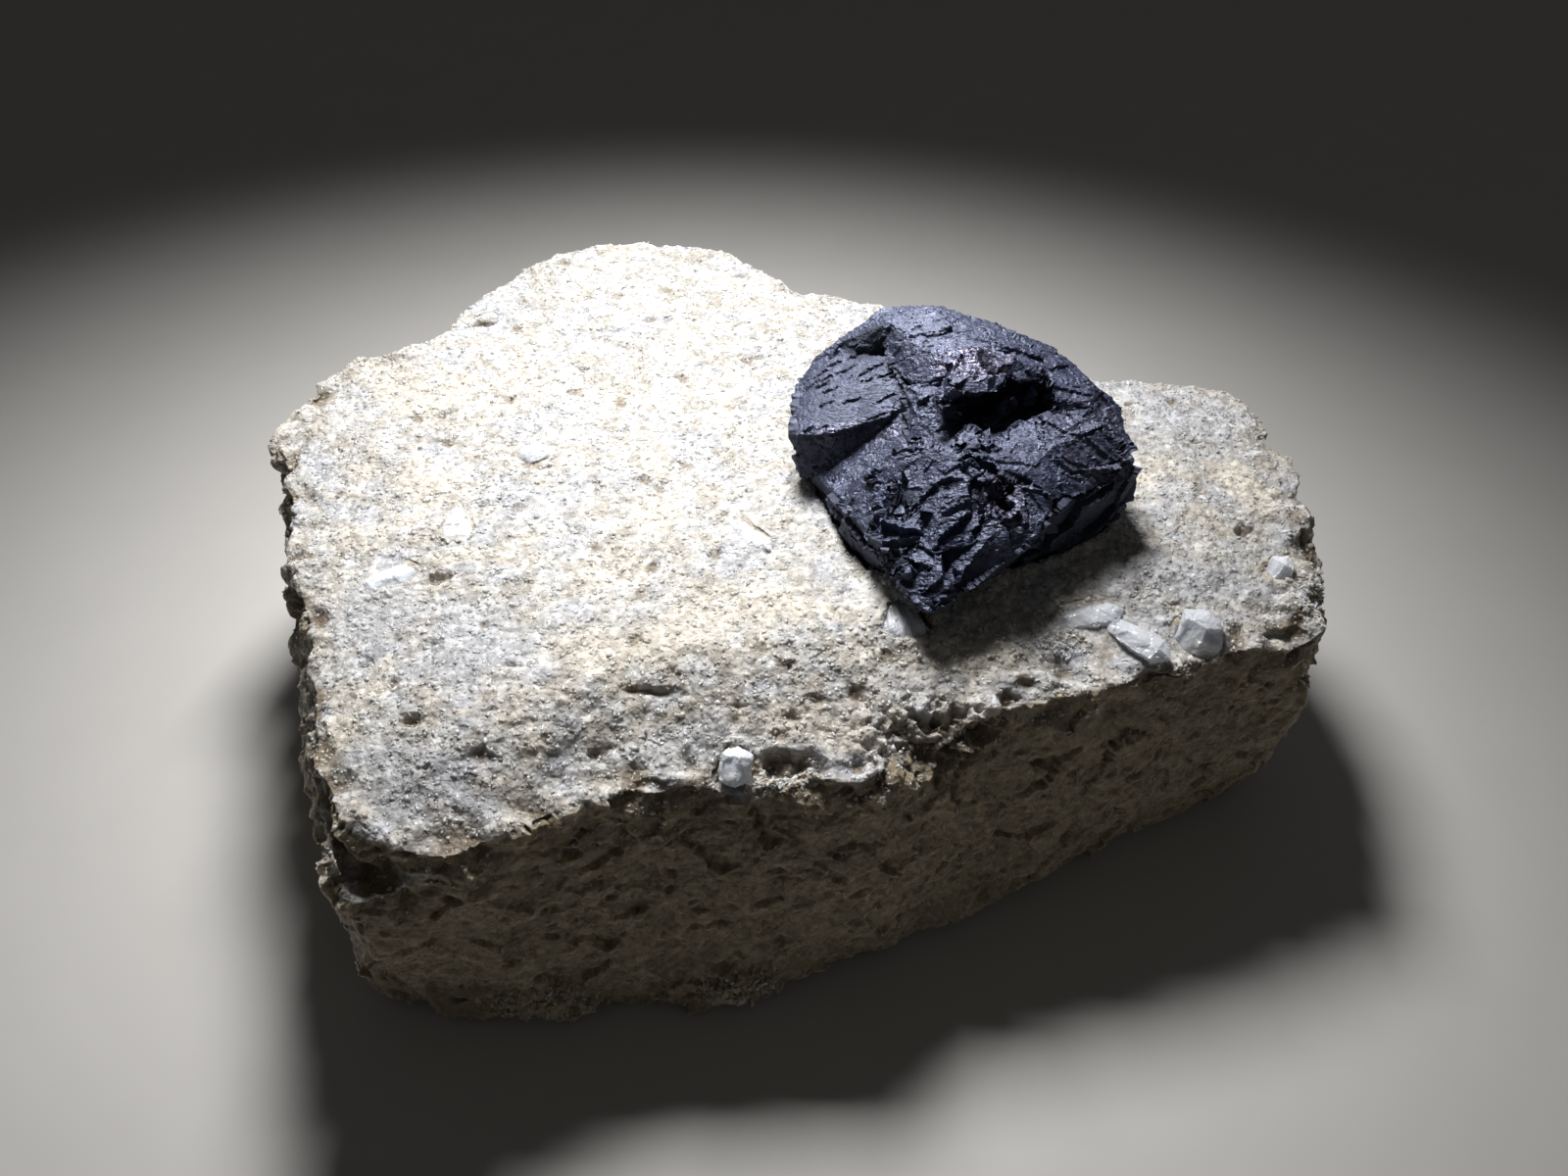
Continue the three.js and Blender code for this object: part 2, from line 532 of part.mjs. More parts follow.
// Cuts: the cavity under the peak's lip in three parts, the pit in the nose's crest, the hollow
// right of the cavity, the re-entrant between shoulder and nose, and the notch above it.
const CUTS = [
  [
    [15, -6, 37.9], [17.2, -6.6, 37.3], [19.2, -6.4, 37.4], [20.6, -5, 37.9], [14.4, -6.6, 39.6],
    [17, -5.8, 40.4], [19.6, -4.8, 40.8], [16, -3, 38.1], [19.6, -2.5, 38.2], [16.6, -3.2, 39.8],
    [19.5, -2.5, 40.2],
  ],
  [
    [19.4, -5.2, 38.4], [22.4, -5, 38.6], [23.8, -3.9, 38.8], [19.4, -4.8, 40.8],
    [21.2, -4.2, 41.2],
    [23.4, -3.6, 40.6], [20, -2.3, 38.7], [22.9, -1.8, 38.9], [20.6, -2.3, 40.6],
    [22.7, -2, 40.5],
  ],
  [
    [12.6, -7, 40.1], [14.6, -6.5, 40.2], [13.4, -6.7, 39.2], [15.6, -6.4, 38.4],
    [15.2, -4.8, 39.2],
    [13.6, -5.4, 39.8],
  ],
  [
    [16.8, -11.2, 39.4], [19.7, -12.4, 39], [20.2, -14.4, 37.6], [18.4, -15.9, 36.2],
    [17.5, -13.4, 37.4],
    [18.3, -13.7, 34.4], [18.9, -12.9, 35], [17.8, -12.3, 35.4],
  ],
  [[22.9, -5.2, 38.9], [24.4, -5, 39], [24.9, -4.3, 39.2], [23.2, -4, 39.4], [23.6, -4.6, 37.9]],
  [
    [21.8, -13, 38.6], [26.6, -12.2, 37], [26.6, -15, 34], [22.6, -16.6, 34], [23, -13.2, 32],
    [25.4, -14.4, 31],
  ],
  [
    [19.4, -11.4, 39.2], [21.8, -11, 39.2], [22.4, -12, 38.8], [20, -12.3, 38.8],
    [20.6, -11.6, 37], [21.6, -11.8, 36.8],
  ],
];

// Small blocks that have grown in the cavity, from its back wall.
const CAVITY_CRYSTALS = [
  [
    [18.6, -4.9, 39.6], [19.6, -4.6, 39.9], [19.9, -4.4, 38.9], [18.9, -4.7, 38.6],
    [18.6, -2, 39.4], [19.8, -2, 38.4],
  ],
  [[21.1, -4, 40.4], [22, -3.9, 39.6], [21.4, -4.2, 39.2], [21.2, -1.6, 40.2], [22.2, -1.6, 38.8]],
  [
    [17.6, -5.4, 38], [18.6, -5.6, 38.3], [18.8, -4.6, 38.4], [17.8, -4.4, 38.2],
    [18, -5, 36.8], [18.6, -4.8, 36.8],
  ],
];

// The convex solid from a block's top corners down to its foot.
function cleavageBlock({ foot, taper, corners }) {
  const mean = (axis) => corners.reduce((sum, corner) => sum + corner[axis], 0) / corners.length;
  const middle = [mean(0), mean(1)];
  const feet = corners.map(([x, y]) => [
    THREE.MathUtils.lerp(middle[0], x, taper),
    THREE.MathUtils.lerp(middle[1], y, taper),
    foot,
  ]);
  return hull([...corners, ...feet]);
}

function sphaleriteCrystal() {
  const blocks = Object.values(BLOCKS).map(cleavageBlock);
  const outgrowths = [...PEAK, ...STEPS].map(hull);
  const joined = [...blocks, ...outgrowths].reduce((crystal, piece) => crystal.add(piece), hull(ROOT));
  const cut = CUTS.reduce((crystal, corners) => crystal.subtract(hull(corners)), joined);
  return CAVITY_CRYSTALS.reduce((crystal, corners) => crystal.add(hull(corners)), cut);
}

// ---------------------------------------------------------------- the quartz crystals

// Each quartz node is one prism or a few that have grown together. Each prism: its middle, radii at
// its two ends, length, thickness over width, the direction that its second end points to in plan,
// and how far it leans up, in degrees.
const QUARTZ = {
  quartz_fan: [[[10.1, -18.2, 28.3], [0.9, 2.7], 6.8, 0.36, -82, -3]], // under the crystal's nose
  quartz_pair: [
    [[25.9, -18, 27.9], [1.1, 1.3], 6.6, 0.62, 12, 3], // in front of the sphalerite, on the right
    [[29.4, -20.2, 27.6], [1.1, 1.4], 6.8, 0.66, -42, 0],
  ],
  quartz_barrel: [[[35, -19, 27.2], [2.1, 1.9], 4.2, 0.9, 60, 68]],
  quartz_splinter_centre: [
    [[-2.9, -8.7, 28.8], [0.5, 0.75], 6.2, 0.6, -52, 4],
    [[-2.2, -9.3, 28.8], [0.5, 0.7], 5.4, 0.6, -49, 4],
  ],
  quartz_splinter_left: [
    [[-28.3, -8.4, 28.8], [1.2, 0.5], 5, 0.7, 80, 28],
    [[-27.4, -8.6, 28.8], [0.9, 0.5], 4.4, 0.7, 106, 22],
  ],
  quartz_grain_left: [[[-32.8, -14.4, 28.5], [1, 1.2], 5, 0.6, 22, 4]],
  quartz_grain_back: [[[-22.7, 2, 28.9], [1.2, 1.1], 3.2, 0.7, 30, 8]],
  quartz_grain_front: [[[-3, -32, 25.6], [1.4, 1.3], 3.4, 0.9, 80, 55]],
  quartz_knob_right: [[[43.6, -11.6, 27], [1.1, 1.3], 3.2, 0.9, 40, 55]],
};

// A six-sided crystal with a blunt point at each end, lying along X.
function quartzPrism([nearRadius, farRadius], length, flatness) {
  const tip = length * 0.2;
  const profile = [
    [0, -length / 2], [nearRadius, -length / 2 + tip], [farRadius, length / 2 - tip],
    [0, length / 2],
  ].map(([x, y]) => new THREE.Vector2(x, y));
  return new THREE.LatheGeometry(profile, 6).rotateY(0.26).scale(1, 1, flatness).rotateZ(-Math.PI / 2);
}

// One quartz node, or the socket that clears it by the given gap.
function quartzCrystal(prisms, gap = 0) {
  const solids = prisms.map(([middle, radii, length, flatness, heading, lean]) => {
    const grown = radii.map((radius) => radius + gap * 1.2);
    const flat = (radii[1] * flatness + gap * 1.2) / grown[1];
    const [pitch, yaw] = [-lean, heading].map(THREE.MathUtils.degToRad);
    const turn = new THREE.Euler(0, pitch, yaw, "ZYX");
    return solidOf(
      quartzPrism(grown, length + 4 * gap, flat)
        .applyMatrix4(new THREE.Matrix4().makeRotationFromEuler(turn))
        .translate(...middle),
    );
  });
  return solids.reduce((joined, prism) => joined.add(prism));
}

// ---------------------------------------------------------------- assembly

function hostRock() {
  const add = (rock, [middle, radii]) => rock.add(lump(middle, radii));
  const bite = (rock, [middle, radii]) => rock.subtract(lump(middle, radii));
  const chip = (rock, corners) => rock.subtract(hull(corners));
  const bitten = BITES.reduce(bite, LUMPS.reduce(add, WALL_BREAKS.reduce(chip, rockBlock())));
  const broken = CORNER_REMNANTS.reduce(add, CORNER_CHIPS.reduce(chip, bitten));
  const sockets = Object.values(QUARTZ).reduce(
    (rock, prisms) => rock.subtract(quartzCrystal(prisms, GAP)),
    broken.subtract(hull(grown(ROOT))),
  );
  const floor = solidOf(new THREE.BoxGeometry(200, 200, 20).translate(0, 0, -10));
  return sockets.subtract(floor);
}

const rockFinish = new THREE.MeshStandardMaterial({ color: 0xc9c3b6, roughness: 0.9, metalness: 0 });
const sphaleriteFinish = new THREE.MeshStandardMaterial({ color: 0x14161f, roughness: 0.35, metalness: 0.4 });
const quartzFinish = new THREE.MeshStandardMaterial({ color: 0xe4e8ee, roughness: 0.15, metalness: 0 });

function named(name, solid, material) {
  const mesh = new THREE.Mesh(geometryOf(solid), material);
  mesh.name = name;
  return mesh;
}

const specimen = new THREE.Group();
specimen.add(named("host_rock", hostRock(), rockFinish));
specimen.add(named("sphalerite_crystal", sphaleriteCrystal(), sphaleriteFinish));
for (const [name, prisms] of Object.entries(QUARTZ)) {
  specimen.add(named(name, quartzCrystal(prisms), quartzFinish));
}

// The origin goes under the middle of the whole specimen.
const extent = new THREE.Box3().setFromObject(specimen);
const centre = extent.getCenter(new THREE.Vector3());
specimen.position.set(-centre.x, -centre.y, -extent.min.z);

export default specimen;
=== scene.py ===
# Sphalerite specimen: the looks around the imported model.
# The specimen is one block of pale sugary rock with grains on its faces, one black sphalerite
# crystal with stepped cleavage, and small clear to milky quartz crystals.
# Lengths are in millimetres, as the object is small, and become metres when a mesh is written;
# lamps, camera and shader sockets are in metres. Shares go from 0 to 1. The photo's camera stands
# in front, at low y, and normals[:, 2] is how much a face looks up. A seed gives each noise a
# pattern of its own.

import math

import bmesh
import bpy
import numpy as np
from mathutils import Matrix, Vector
from mathutils.bvhtree import BVHTree
from mathutils.noise import fractal


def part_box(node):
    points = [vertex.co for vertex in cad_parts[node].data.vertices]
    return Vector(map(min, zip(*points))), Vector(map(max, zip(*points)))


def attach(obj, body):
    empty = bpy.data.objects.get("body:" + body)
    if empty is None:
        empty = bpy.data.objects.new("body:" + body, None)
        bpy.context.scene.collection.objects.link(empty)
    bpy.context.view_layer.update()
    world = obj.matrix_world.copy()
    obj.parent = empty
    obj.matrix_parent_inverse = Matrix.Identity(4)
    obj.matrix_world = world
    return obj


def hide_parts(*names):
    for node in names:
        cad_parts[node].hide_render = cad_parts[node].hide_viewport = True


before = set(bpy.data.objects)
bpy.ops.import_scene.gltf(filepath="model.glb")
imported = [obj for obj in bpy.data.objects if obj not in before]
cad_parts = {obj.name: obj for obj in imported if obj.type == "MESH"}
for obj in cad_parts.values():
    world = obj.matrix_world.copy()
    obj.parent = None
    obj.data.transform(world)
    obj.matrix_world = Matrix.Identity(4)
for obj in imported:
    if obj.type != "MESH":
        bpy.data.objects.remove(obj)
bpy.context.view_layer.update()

MM = 0.001  # metres in a millimetre

# ---------------------------------------------------------------- driving values

ROCK_VOXEL = 0.36  # how fine the rock's mesh is
CRYSTAL_VOXEL = 0.18  # how fine the sphalerite's mesh is
QUARTZ_VOXEL = 0.13  # how fine the quartz crystals' meshes are
MOST_TRIANGLES = 190_000  # in one piece

TOP_HEIGHTS = (20, 23.5)  # the rock's top face begins between these heights
BASE_HEIGHTS = (0.5, 0.12)  # and its flat base between these
CRYSTAL_HEIGHTS = (27, 29)  # and the sphalerite's free part above the rock between these
CLEAVAGE_UP = (0.05, 0.2, 0.97)  # the cleavage direction that lies nearest the vertical

PLUG_MARGIN = 0.75  # how far a plug that closes a socket reaches past its crystal
PLUG_DROP = 0.1  # how far below the rock's face a plug ends
FILL_DROP = 0.03  # how far below it a filled socket ends
FILL_REACH = 0.9  # how far round a crystal's box its socket is filled
FILL_DEPTH = 1.5  # how far below the box it is filled
RING_STEPS = 16  # places round a crystal where the rock's face is measured
RING_GAP = 1.2  # how far outside the crystal's box they are
LOOKED_FROM = 100  # a height above the whole specimen
UPPER_WALL = 15  # the walls' part next to the brink is above this height
SOCKET_MARGIN = 1  # faces as near as this to a crystal's box belong to its socket

CRYSTAL = "sphalerite_crystal"
ROCK = "host_rock"
FAN = "quartz_fan"
QUARTZ = sorted(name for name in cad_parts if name.startswith("quartz"))

# The crystals that one can see into. The other ones are milky.
CLEAR = [FAN, "quartz_pair", "quartz_barrel"]

# How much deeper some crystals sit than the solids do, so that the rock's grains lap over them.
SUNKEN = {
    "quartz_pair": 0.45,
    "quartz_barrel": 0.5,
    "quartz_knob_right": 0.4,
    "quartz_grain_left": 0.2,
}

FAN_HEADING = -82  # the way the quartz fan opens, in degrees
FAN_APEX = 6.0  # from its middle back to where its growth lines meet
FAN_GROWTH = 1.22  # how much longer it is than its solid
FAN_SHIFT = (-0.45, 0.1, 0.1)  # how far it is moved out from under the sphalerite's tip
FAN_BACK = 0.7  # how much further its narrow half is drawn out
FAN_LEAN = (-0.12, 0, 0.16)  # how that half bends away, for each millimetre of it
SPLINTER_WIDER = 0.3  # how much wider the splinters are than their solids

# Hollows and swellings of the rock: the middle's offset from the rock's lowest corner, the radii,
# the depth (below 0 it stands out), and how brown and dark it is painted, which is partly its
# own brown and partly painted shade.
DENTS = [
    ((20.8, 27.2, 28.5), (3.2, 1.0, 1.6), 0.8, 0.7),
    ((17.6, 66.6, 29), (1.8, 0.7, 1.5), 0.8, 0.8),
    ((26.2, 42.2, 28.5), (1.9, 0.8, 1.5), 0.7, 0.9),
    ((55.1, 15.6, 27.5), (1.3, 0.9, 1.5), 0.6, 0.8),
    ((90.1, 34.1, 27), (1.5, 1.2, 2), 0.9, 0.8),
    ((91.7, 30.3, 27), (1.2, 1.0, 2), 0.9, 0.8),
    ((95.2, 35.4, 26.5), (1.4, 1.2, 2), 0.9, 0.8),
    ((38.7, 15.0, 28), (3.0, 0.45, 1.5), 0.5, 0.8),
    ((20.9, 12.3, 27.5), (1.0, 0.8, 1.5), 0.6, 0.9),
    ((62.6, 12.0, 25), (8.5, 4.2, 4.5), 2.0, 0.8),
    ((58.6, 11.8, 24.5), (2.2, 1.3, 1.6), 1.0, 0.9),
    ((63.0, 14.6, 25.2), (2.6, 1.2, 1.6), 0.9, 0.9),
    ((67.4, 16.2, 25.7), (2.2, 1.0, 1.6), 0.9, 0.9),
    ((49.3, 9.8, 25), (4.5, 2.0, 2.5), 1.5, 0.8),
    ((1.5, 43.0, 25), (2.5, 4.0, 4), 1.9, 0.7),
    ((6.5, 28.0, 25), (2.5, 3.0, 4), 1.7, 0.7),
    ((28.8, 2.4, 3.0), (6.0, 3.0, 3.0), -0.9, 0.0),
    ((45.2, 4.6, 3.0), (4.5, 3.0, 2.6), -0.8, 0.0),
]

# Patches of colour on the top: the middle's offset as above, the radii, and the colour, from -1,
# blue-grey, to 1, cream.
PATCHES = [
    ((35.3, 18.4), (5.5, 2.6), 1.0),
    ((40.7, 19.5), (4.5, 2.0), 0.9),
    ((34.3, 28.6), (3.0, 2.2), 0.9),
    ((50.1, 22.8), (3.6, 2.4), 1.0),
    ((61.9, 19.4), (7.0, 2.0), 0.8),
    ((22.8, 55.2), (5.0, 5.0), 0.6),
    ((9.6, 56.9), (3.0, 2.5), 0.8),
    ((51.6, 13.1), (5.0, 1.8), 0.8),
    ((24.2, 19.4), (5.0, 4.0), -0.9),
    ((43.0, 11.3), (6.0, 2.6), -0.7),
    ((15.3, 23.2), (4.5, 4.5), -0.7),
    ((17.4, 69.8), (3.5, 2.0), -1.0),
    ((27.5, 48.7), (4.5, 3.5), -0.6),
    ((83.0, 28.4), (6.0, 2.5), -0.8),
    ((87.8, 50.0), (5.0, 6.0), -0.7),
    ((23.2, 7.5), (4.5, 3.0), -0.7),
]

# Where larger clear grains stand in a crust: the middle's offset as above, and the radii.
DRUSES = [
    ((72.2, 21.1, 28), (3.4, 1.6, 2.5)),
    ((94.5, 27.5, 26), (2.8, 3.4, 3.5)),
    ((28.8, 2.4, 3.0), (6.0, 3.5, 3.0)),
    ((45.2, 4.6, 3.0), (4.5, 3.5, 2.6)),
    ((49.3, 9.0, 25), (4.0, 1.6, 2)),
    ((83.0, 19.0, 26.5), (4.0, 1.4, 2.5)),
]

# Parts of the sphalerite: the middle's offset from the crystal's lowest corner, and the radii.
ZONES = {
    "peak": ((15.8, 18, 16), (6.5, 4.5, 4)),
    "cap": ((14.4, 19.6, 16.6), (5, 3.6, 3.4)),  # the peak's bronze lobes
    "hump": ((11.5, 17, 12.8), (3, 3.4, 3)),
    "pit": ((16.4, 7.6, 10.6), (3, 3.4, 3)),
    "shoulder": ((24.5, 15, 11), (5, 7, 5)),
    "nose": ((11, 7, 8), (9, 9, 7)),
    "tip": ((10.3, 3, 6.5), (4.6, 4.6, 3)),
    "shelf": ((4.5, 22, 12), (7, 6, 5)),
    "brink": ((5, 18, 10), (6, 1.4, 1.5)),  # the shelf's front edge
    # The facet zone is painted dark as shade in the material: that face looks away from the key
    # lamp.
    "facet": ((6.5, 25.6, 13.8), (3.2, 1.6, 2.6)),  # the dark face behind the shelf
    "ridge": ((15.3, 24.6, 16), (12, 7, 4)),
}

# Colours, each as its dark and its light shade.
BEIGE = ((0.31, 0.285, 0.25), (0.55, 0.515, 0.465))
GREY = ((0.33, 0.335, 0.355), (0.54, 0.545, 0.565))
CREAM = ((0.47, 0.43, 0.365), (0.64, 0.60, 0.535))
PALE = ((0.40, 0.395, 0.385), (0.60, 0.595, 0.585))
# The walls' khaki is partly their own tone and partly painted shade, darker and browner than the
# top.
KHAKI_AND_SHADE = ((0.17, 0.14, 0.085), (0.38, 0.315, 0.21))
BLUE_BLACK = ((0.010, 0.013, 0.030), (0.024, 0.031, 0.068))
BRONZE = ((0.024, 0.026, 0.050), (0.22, 0.20, 0.265))
ICE = ((0.64, 0.68, 0.77), (0.88, 0.90, 0.93))
TABLE = ((0.49, 0.48, 0.465), (0.53, 0.52, 0.505))

# Colours of one shade. The last three have a fourth number that is always 1.
# The pit brown is partly the pits' own colour and partly painted shade in the hollows.
PIT_BROWN_AND_SHADE = (0.17, 0.13, 0.085)
# The two blacks are painted shade on the sphalerite: on its steep faces, on the face behind the
# shelf and a little on the level shelf, and in its cleavage cracks.
STEEP_SHADE_BLACK = (0.004, 0.005, 0.012)
CRACK_SHADE_BLACK = (0.003, 0.003, 0.006)
THROUGH_QUARTZ = (0.86, 0.91, 0.97, 1)
SPHALERITE_SHEEN = (0.70, 0.76, 1.0, 1)
ROOM_LIGHT = (1, 0.98, 0.95, 1)

CAMERA_PLACE = (0.0001, -0.0926, 0.102)  # in metres
CAMERA_PITCH = 44  # degrees below the horizon
CAMERA_LENS = 29.025  # focal length, in millimetres as the sensor's width
CAMERA_NEAR = 0.001  # what is nearer isn't drawn, in metres
SENSOR = 36
FLOOR_HALF = 1500  # half the floor's side, in millimetres


def corners_mm(node):
    """The lowest and highest corner of a CAD node, in millimetres."""
    return [np.array(corner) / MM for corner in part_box(node)]


def box_mm(node):
    """The middle of a CAD node's box and half its size, in millimetres."""
    low, high = corners_mm(node)
    return (low + high) / 2, (high - low) / 2


CRYSTAL_LOW = corners_mm(CRYSTAL)[0]
ROCK_LOW = corners_mm(ROCK)[0]
SOCKETS = [corners_mm(name) for name in [CRYSTAL, *QUARTZ]]

# ---------------------------------------------------------------- noise and facets


def hashed(cells, seed):
    """A number from 0 to 1 for each row of whole numbers, always the same for the same row. The
    large numbers only mix the digits."""
    mixed = cells.astype(np.int64) @ np.array([73856093, 19349663, 83492791]) + seed * 2654435
    mixed = ((mixed ^ (mixed >> 13)) * 1274126177) & 0x7FFFFFFF
    mixed = ((mixed ^ (mixed >> 15)) * 48271) & 0x7FFFFFFF
    return (mixed % 100003) / 100003


def noise(points, size, seed, octaves=1):
    """Smooth noise, mostly between -1 and 1, with features of the given size."""
    shift = np.array([3.7, 5.3, 7.9]) * seed
    return np.array([fractal(place, 1, 2, octaves) for place in (points / size + shift).tolist()])


def wobble(points, size, seed, octaves=1):
    """A vector of noise for each point."""
    return np.stack([noise(points, size, seed + axis, octaves) for axis in range(3)], axis=1)


def cellular(points, size, seed, stretch=(1, 1, 1)):
    """The nearest centre of an irregular grid of cells: how near it is, in cell sizes, a number
    from 0 to 1 for its cell, the whole numbers that name the cell, and the way to the point from
    the centre, in cell sizes."""
    scaled = points / (size * np.array(stretch))
    base = np.floor(scaled)
    nearest = np.full(len(points), 9.0)
    name = np.zeros((len(points), 3))
    way = np.zeros((len(points), 3))
    for offset in np.ndindex(3, 3, 3):
        cell = base + offset - 1
        middle = cell + np.stack([hashed(cell, seed + axis) for axis in range(3)], axis=1)
        distance = np.linalg.norm(middle - scaled, axis=1)
        nearer = distance < nearest
        nearest = np.where(nearer, distance, nearest)
        name[nearer] = cell[nearer]
        way[nearer] = (scaled - middle)[nearer]
    return nearest, hashed(name, seed + 9), name, way


def smoothstep(start, end, value):
    """From 0 at the start to 1 at the end, which may be the lower of the two."""
    t = np.clip((value - start) / (end - start), 0, 1)
    return t * t * (3 - 2 * t)


def holes(points, size, seed, rim, core, without, stretch=(1, 1, 1)):
    """Shares that rise from 0 at a hole's rim to 1 at its core, both given as distances from the
    middle in cell sizes. The share of cells that have no hole is the number without."""
    near, number, _, _ = cellular(points, size, seed, stretch)
    return smoothstep(rim, core, near) * (number > without)


def cleavage_directions():
    """The twelve dodecahedral cleavage directions, turned so that one is CLEAVAGE_UP."""
    found = []
    for a in (-1, 1):
        for b in (-1, 1):
            found += [(a, b, 0), (a, 0, b), (0, a, b)]
    directions = np.array(found, float) / math.sqrt(2)
    up = np.array(CLEAVAGE_UP) / np.linalg.norm(CLEAVAGE_UP)
    start = np.array([0, 1, 1]) / math.sqrt(2)
    axis = np.cross(start, up)
    sine, cosine = np.linalg.norm(axis), float(start @ up)
    x, y, z = axis / sine
    skew = np.array([[0, -z, y], [z, 0, -x], [-y, x, 0]])
    turn = np.eye(3) + sine * skew + (1 - cosine) * skew @ skew
    return directions @ turn.T


CLEAVAGE = cleavage_directions()


def summed(cell, values):
    """The sum of the rows of each cell."""
    return np.stack([np.bincount(cell, values[:, axis]) for axis in range(3)], axis=1)


def facets(points, normals, size, seed, stretch=(1, 1, 1), snap=0.0, tilt=0.0, limit=0.5):
    """How far each point moves along its normal, up to the limit, so that each cell of the surface
    becomes one flat facet. Faces that look different ways aren't mixed in a cell, so edges stay
    sharp. Each facet turns at random by about the tilt, and towards the nearest cleavage direction
    by the share snap."""
    warped = points + 0.35 * size * wobble(points, 1.7 * size, seed + 40)
    name = cellular(warped, size, seed, stretch)[2]
    side = np.argmax(normals @ CLEAVAGE.T, axis=1)
    _, cell = np.unique(np.c_[name, side], axis=0, return_inverse=True)
    cell = cell.reshape(-1)
    middle = summed(cell, points) / np.bincount(cell)[:, None]
    face = summed(cell, normals)
    face /= np.linalg.norm(face, axis=1, keepdims=True) + 1e-9
    if tilt:
        face = face + np.random.default_rng(seed).normal(0, tilt, face.shape)
    if snap:
        nearest = CLEAVAGE[np.argmax(face @ CLEAVAGE.T, axis=1)]
        face = face * (1 - snap) + nearest * snap
    face /= np.linalg.norm(face, axis=1, keepdims=True)
    slope = np.einsum("ij,ij->i", normals, face[cell])
    rise = np.einsum("ij,ij->i", middle[cell] - points, face[cell]) / np.maximum(slope, 0.5)
    return np.clip(rise, -limit, limit) * smoothstep(0.55, 0.9, slope)


# ---------------------------------------------------------------- meshes


def link(name, data):
    """A new object in the scene."""
    piece = bpy.data.objects.new(name, data)
    bpy.context.scene.collection.objects.link(piece)
    return piece


def mesh_of(name, vertices_mm, faces):
    mesh = bpy.data.meshes.new(name)
    mesh.from_pydata((np.asarray(vertices_mm) * MM).tolist(), [], np.asarray(faces).tolist())
    return mesh


def applied(piece):
    """The piece with its modifiers worked into its mesh."""
    evaluated = piece.evaluated_get(bpy.context.evaluated_depsgraph_get())
    mesh = bpy.data.meshes.new_from_object(evaluated)
    piece.modifiers.clear()
    piece.data = mesh
    return piece


def places(mesh):
    """The vertices, in millimetres, and their normals."""
    points = np.zeros(len(mesh.vertices) * 3, np.float32)
    normals = np.zeros_like(points)
    mesh.vertices.foreach_get("co", points)
    mesh.vertices.foreach_get("normal", normals)
    return points.reshape(-1, 3).astype(float) / MM, normals.reshape(-1, 3).astype(float)


def put_places(mesh, points):
    mesh.vertices.foreach_set("co", (points * MM).astype(np.float32).ravel())
    mesh.update()


def put_attribute(mesh, name, values):
    attribute = mesh.attributes.new(name, "FLOAT", "POINT")
    attribute.data.foreach_set("value", np.asarray(values, np.float32))


def thinned(piece):
    """The piece, with its flattest places thinned out if it has more than MOST_TRIANGLES."""
    triangles = sum(len(face.vertices) - 2 for face in piece.data.polygons)
    if triangles > MOST_TRIANGLES:
        thin = piece.modifiers.new("thin", "DECIMATE")
        thin.ratio = MOST_TRIANGLES / triangles
        applied(piece)
    return piece


def remeshed(piece, voxel):
    """The piece as one closed mesh of small even faces."""
    remesh = piece.modifiers.new("remesh", "REMESH")
    remesh.mode = "VOXEL"
    remesh.voxel_size = voxel * MM
    remesh.use_smooth_shade = False
    return applied(piece)


# ---------------------------------------------------------------- materials

TRANSLUCENT = {
    "Subsurface_Weight": 0.8,
    "Subsurface_Radius": (1, 0.96, 0.92),
    "Subsurface_Scale": 0.0008,
}


def material_of(name, **values):
    """A new material whose Principled shader has these values, with _ for the blanks."""
    material = bpy.data.materials.new(name)
    material.use_nodes = True
    principled = material.node_tree.nodes["Principled BSDF"]
    for socket, value in values.items():
        principled.inputs[socket.replace("_", " ")].default_value = value
    return material


def node(material, kind, inputs=None, **settings):
    """Adds a node. Each input is a value or the output that feeds it."""
    made = material.node_tree.nodes.new("ShaderNode" + kind)
    for name, value in settings.items():
        setattr(made, name, value)
    for name, value in (inputs or {}).items():
        if isinstance(value, bpy.types.NodeSocket):
            material.node_tree.links.new(value, made.inputs[name])
        else:
            made.inputs[name].default_value = value
    return made


def feed(material, socket, output):
    """Feeds an input of the Principled shader."""
    principled = material.node_tree.nodes["Principled BSDF"]
    material.node_tree.links.new(output, principled.inputs[socket])


def mixed(material, share, first, second):
    """A colour from the first at share 0 to the second at share 1."""
    made = node(material, "Mix", data_type="RGBA", blend_type="MIX")
    for index, value in ((0, share), (6, first), (7, second)):
        if isinstance(value, bpy.types.NodeSocket):
            material.node_tree.links.new(value, made.inputs[index])
        else:
            made.inputs[index].default_value = (*value, 1)
    return made.outputs[2]


def band(material, value, low, high):
    """A share that goes from 0 to 1 as the value goes from low to high."""
    inputs = {"Value": value, "From Min": low, "From Max": high}
    return node(material, "MapRange", inputs).outputs["Result"]


def ranged(material, share, low, high):
    """A value that goes from low to high as the share goes from 0 to 1."""
    inputs = {"Value": share, "To Min": low, "To Max": high}
    return node(material, "MapRange", inputs).outputs["Result"]


def math_of(material, operation, *values):
    inputs = dict(enumerate(values))
    return node(material, "Math", inputs, operation=operation).outputs[0]


def vector_of(material, operation, inputs):
    return node(material, "VectorMath", inputs, operation=operation).outputs[0]


def grey_of(material, colour):
    """How light a colour is."""
    return node(material, "RGBToBW", {"Color": colour}).outputs[0]


def centred(material, colour):
    """A colour's channels, from 0 to 1, as a vector from -0.5 to 0.5."""
    return vector_of(material, "SUBTRACT", {0: colour, 1: (0.5, 0.5, 0.5)})


def attribute(material, name):
    return node(material, "Attribute", attribute_name=name).outputs["Fac"]


def object_place(material):
    return node(material, "TexCoord").outputs["Object"]


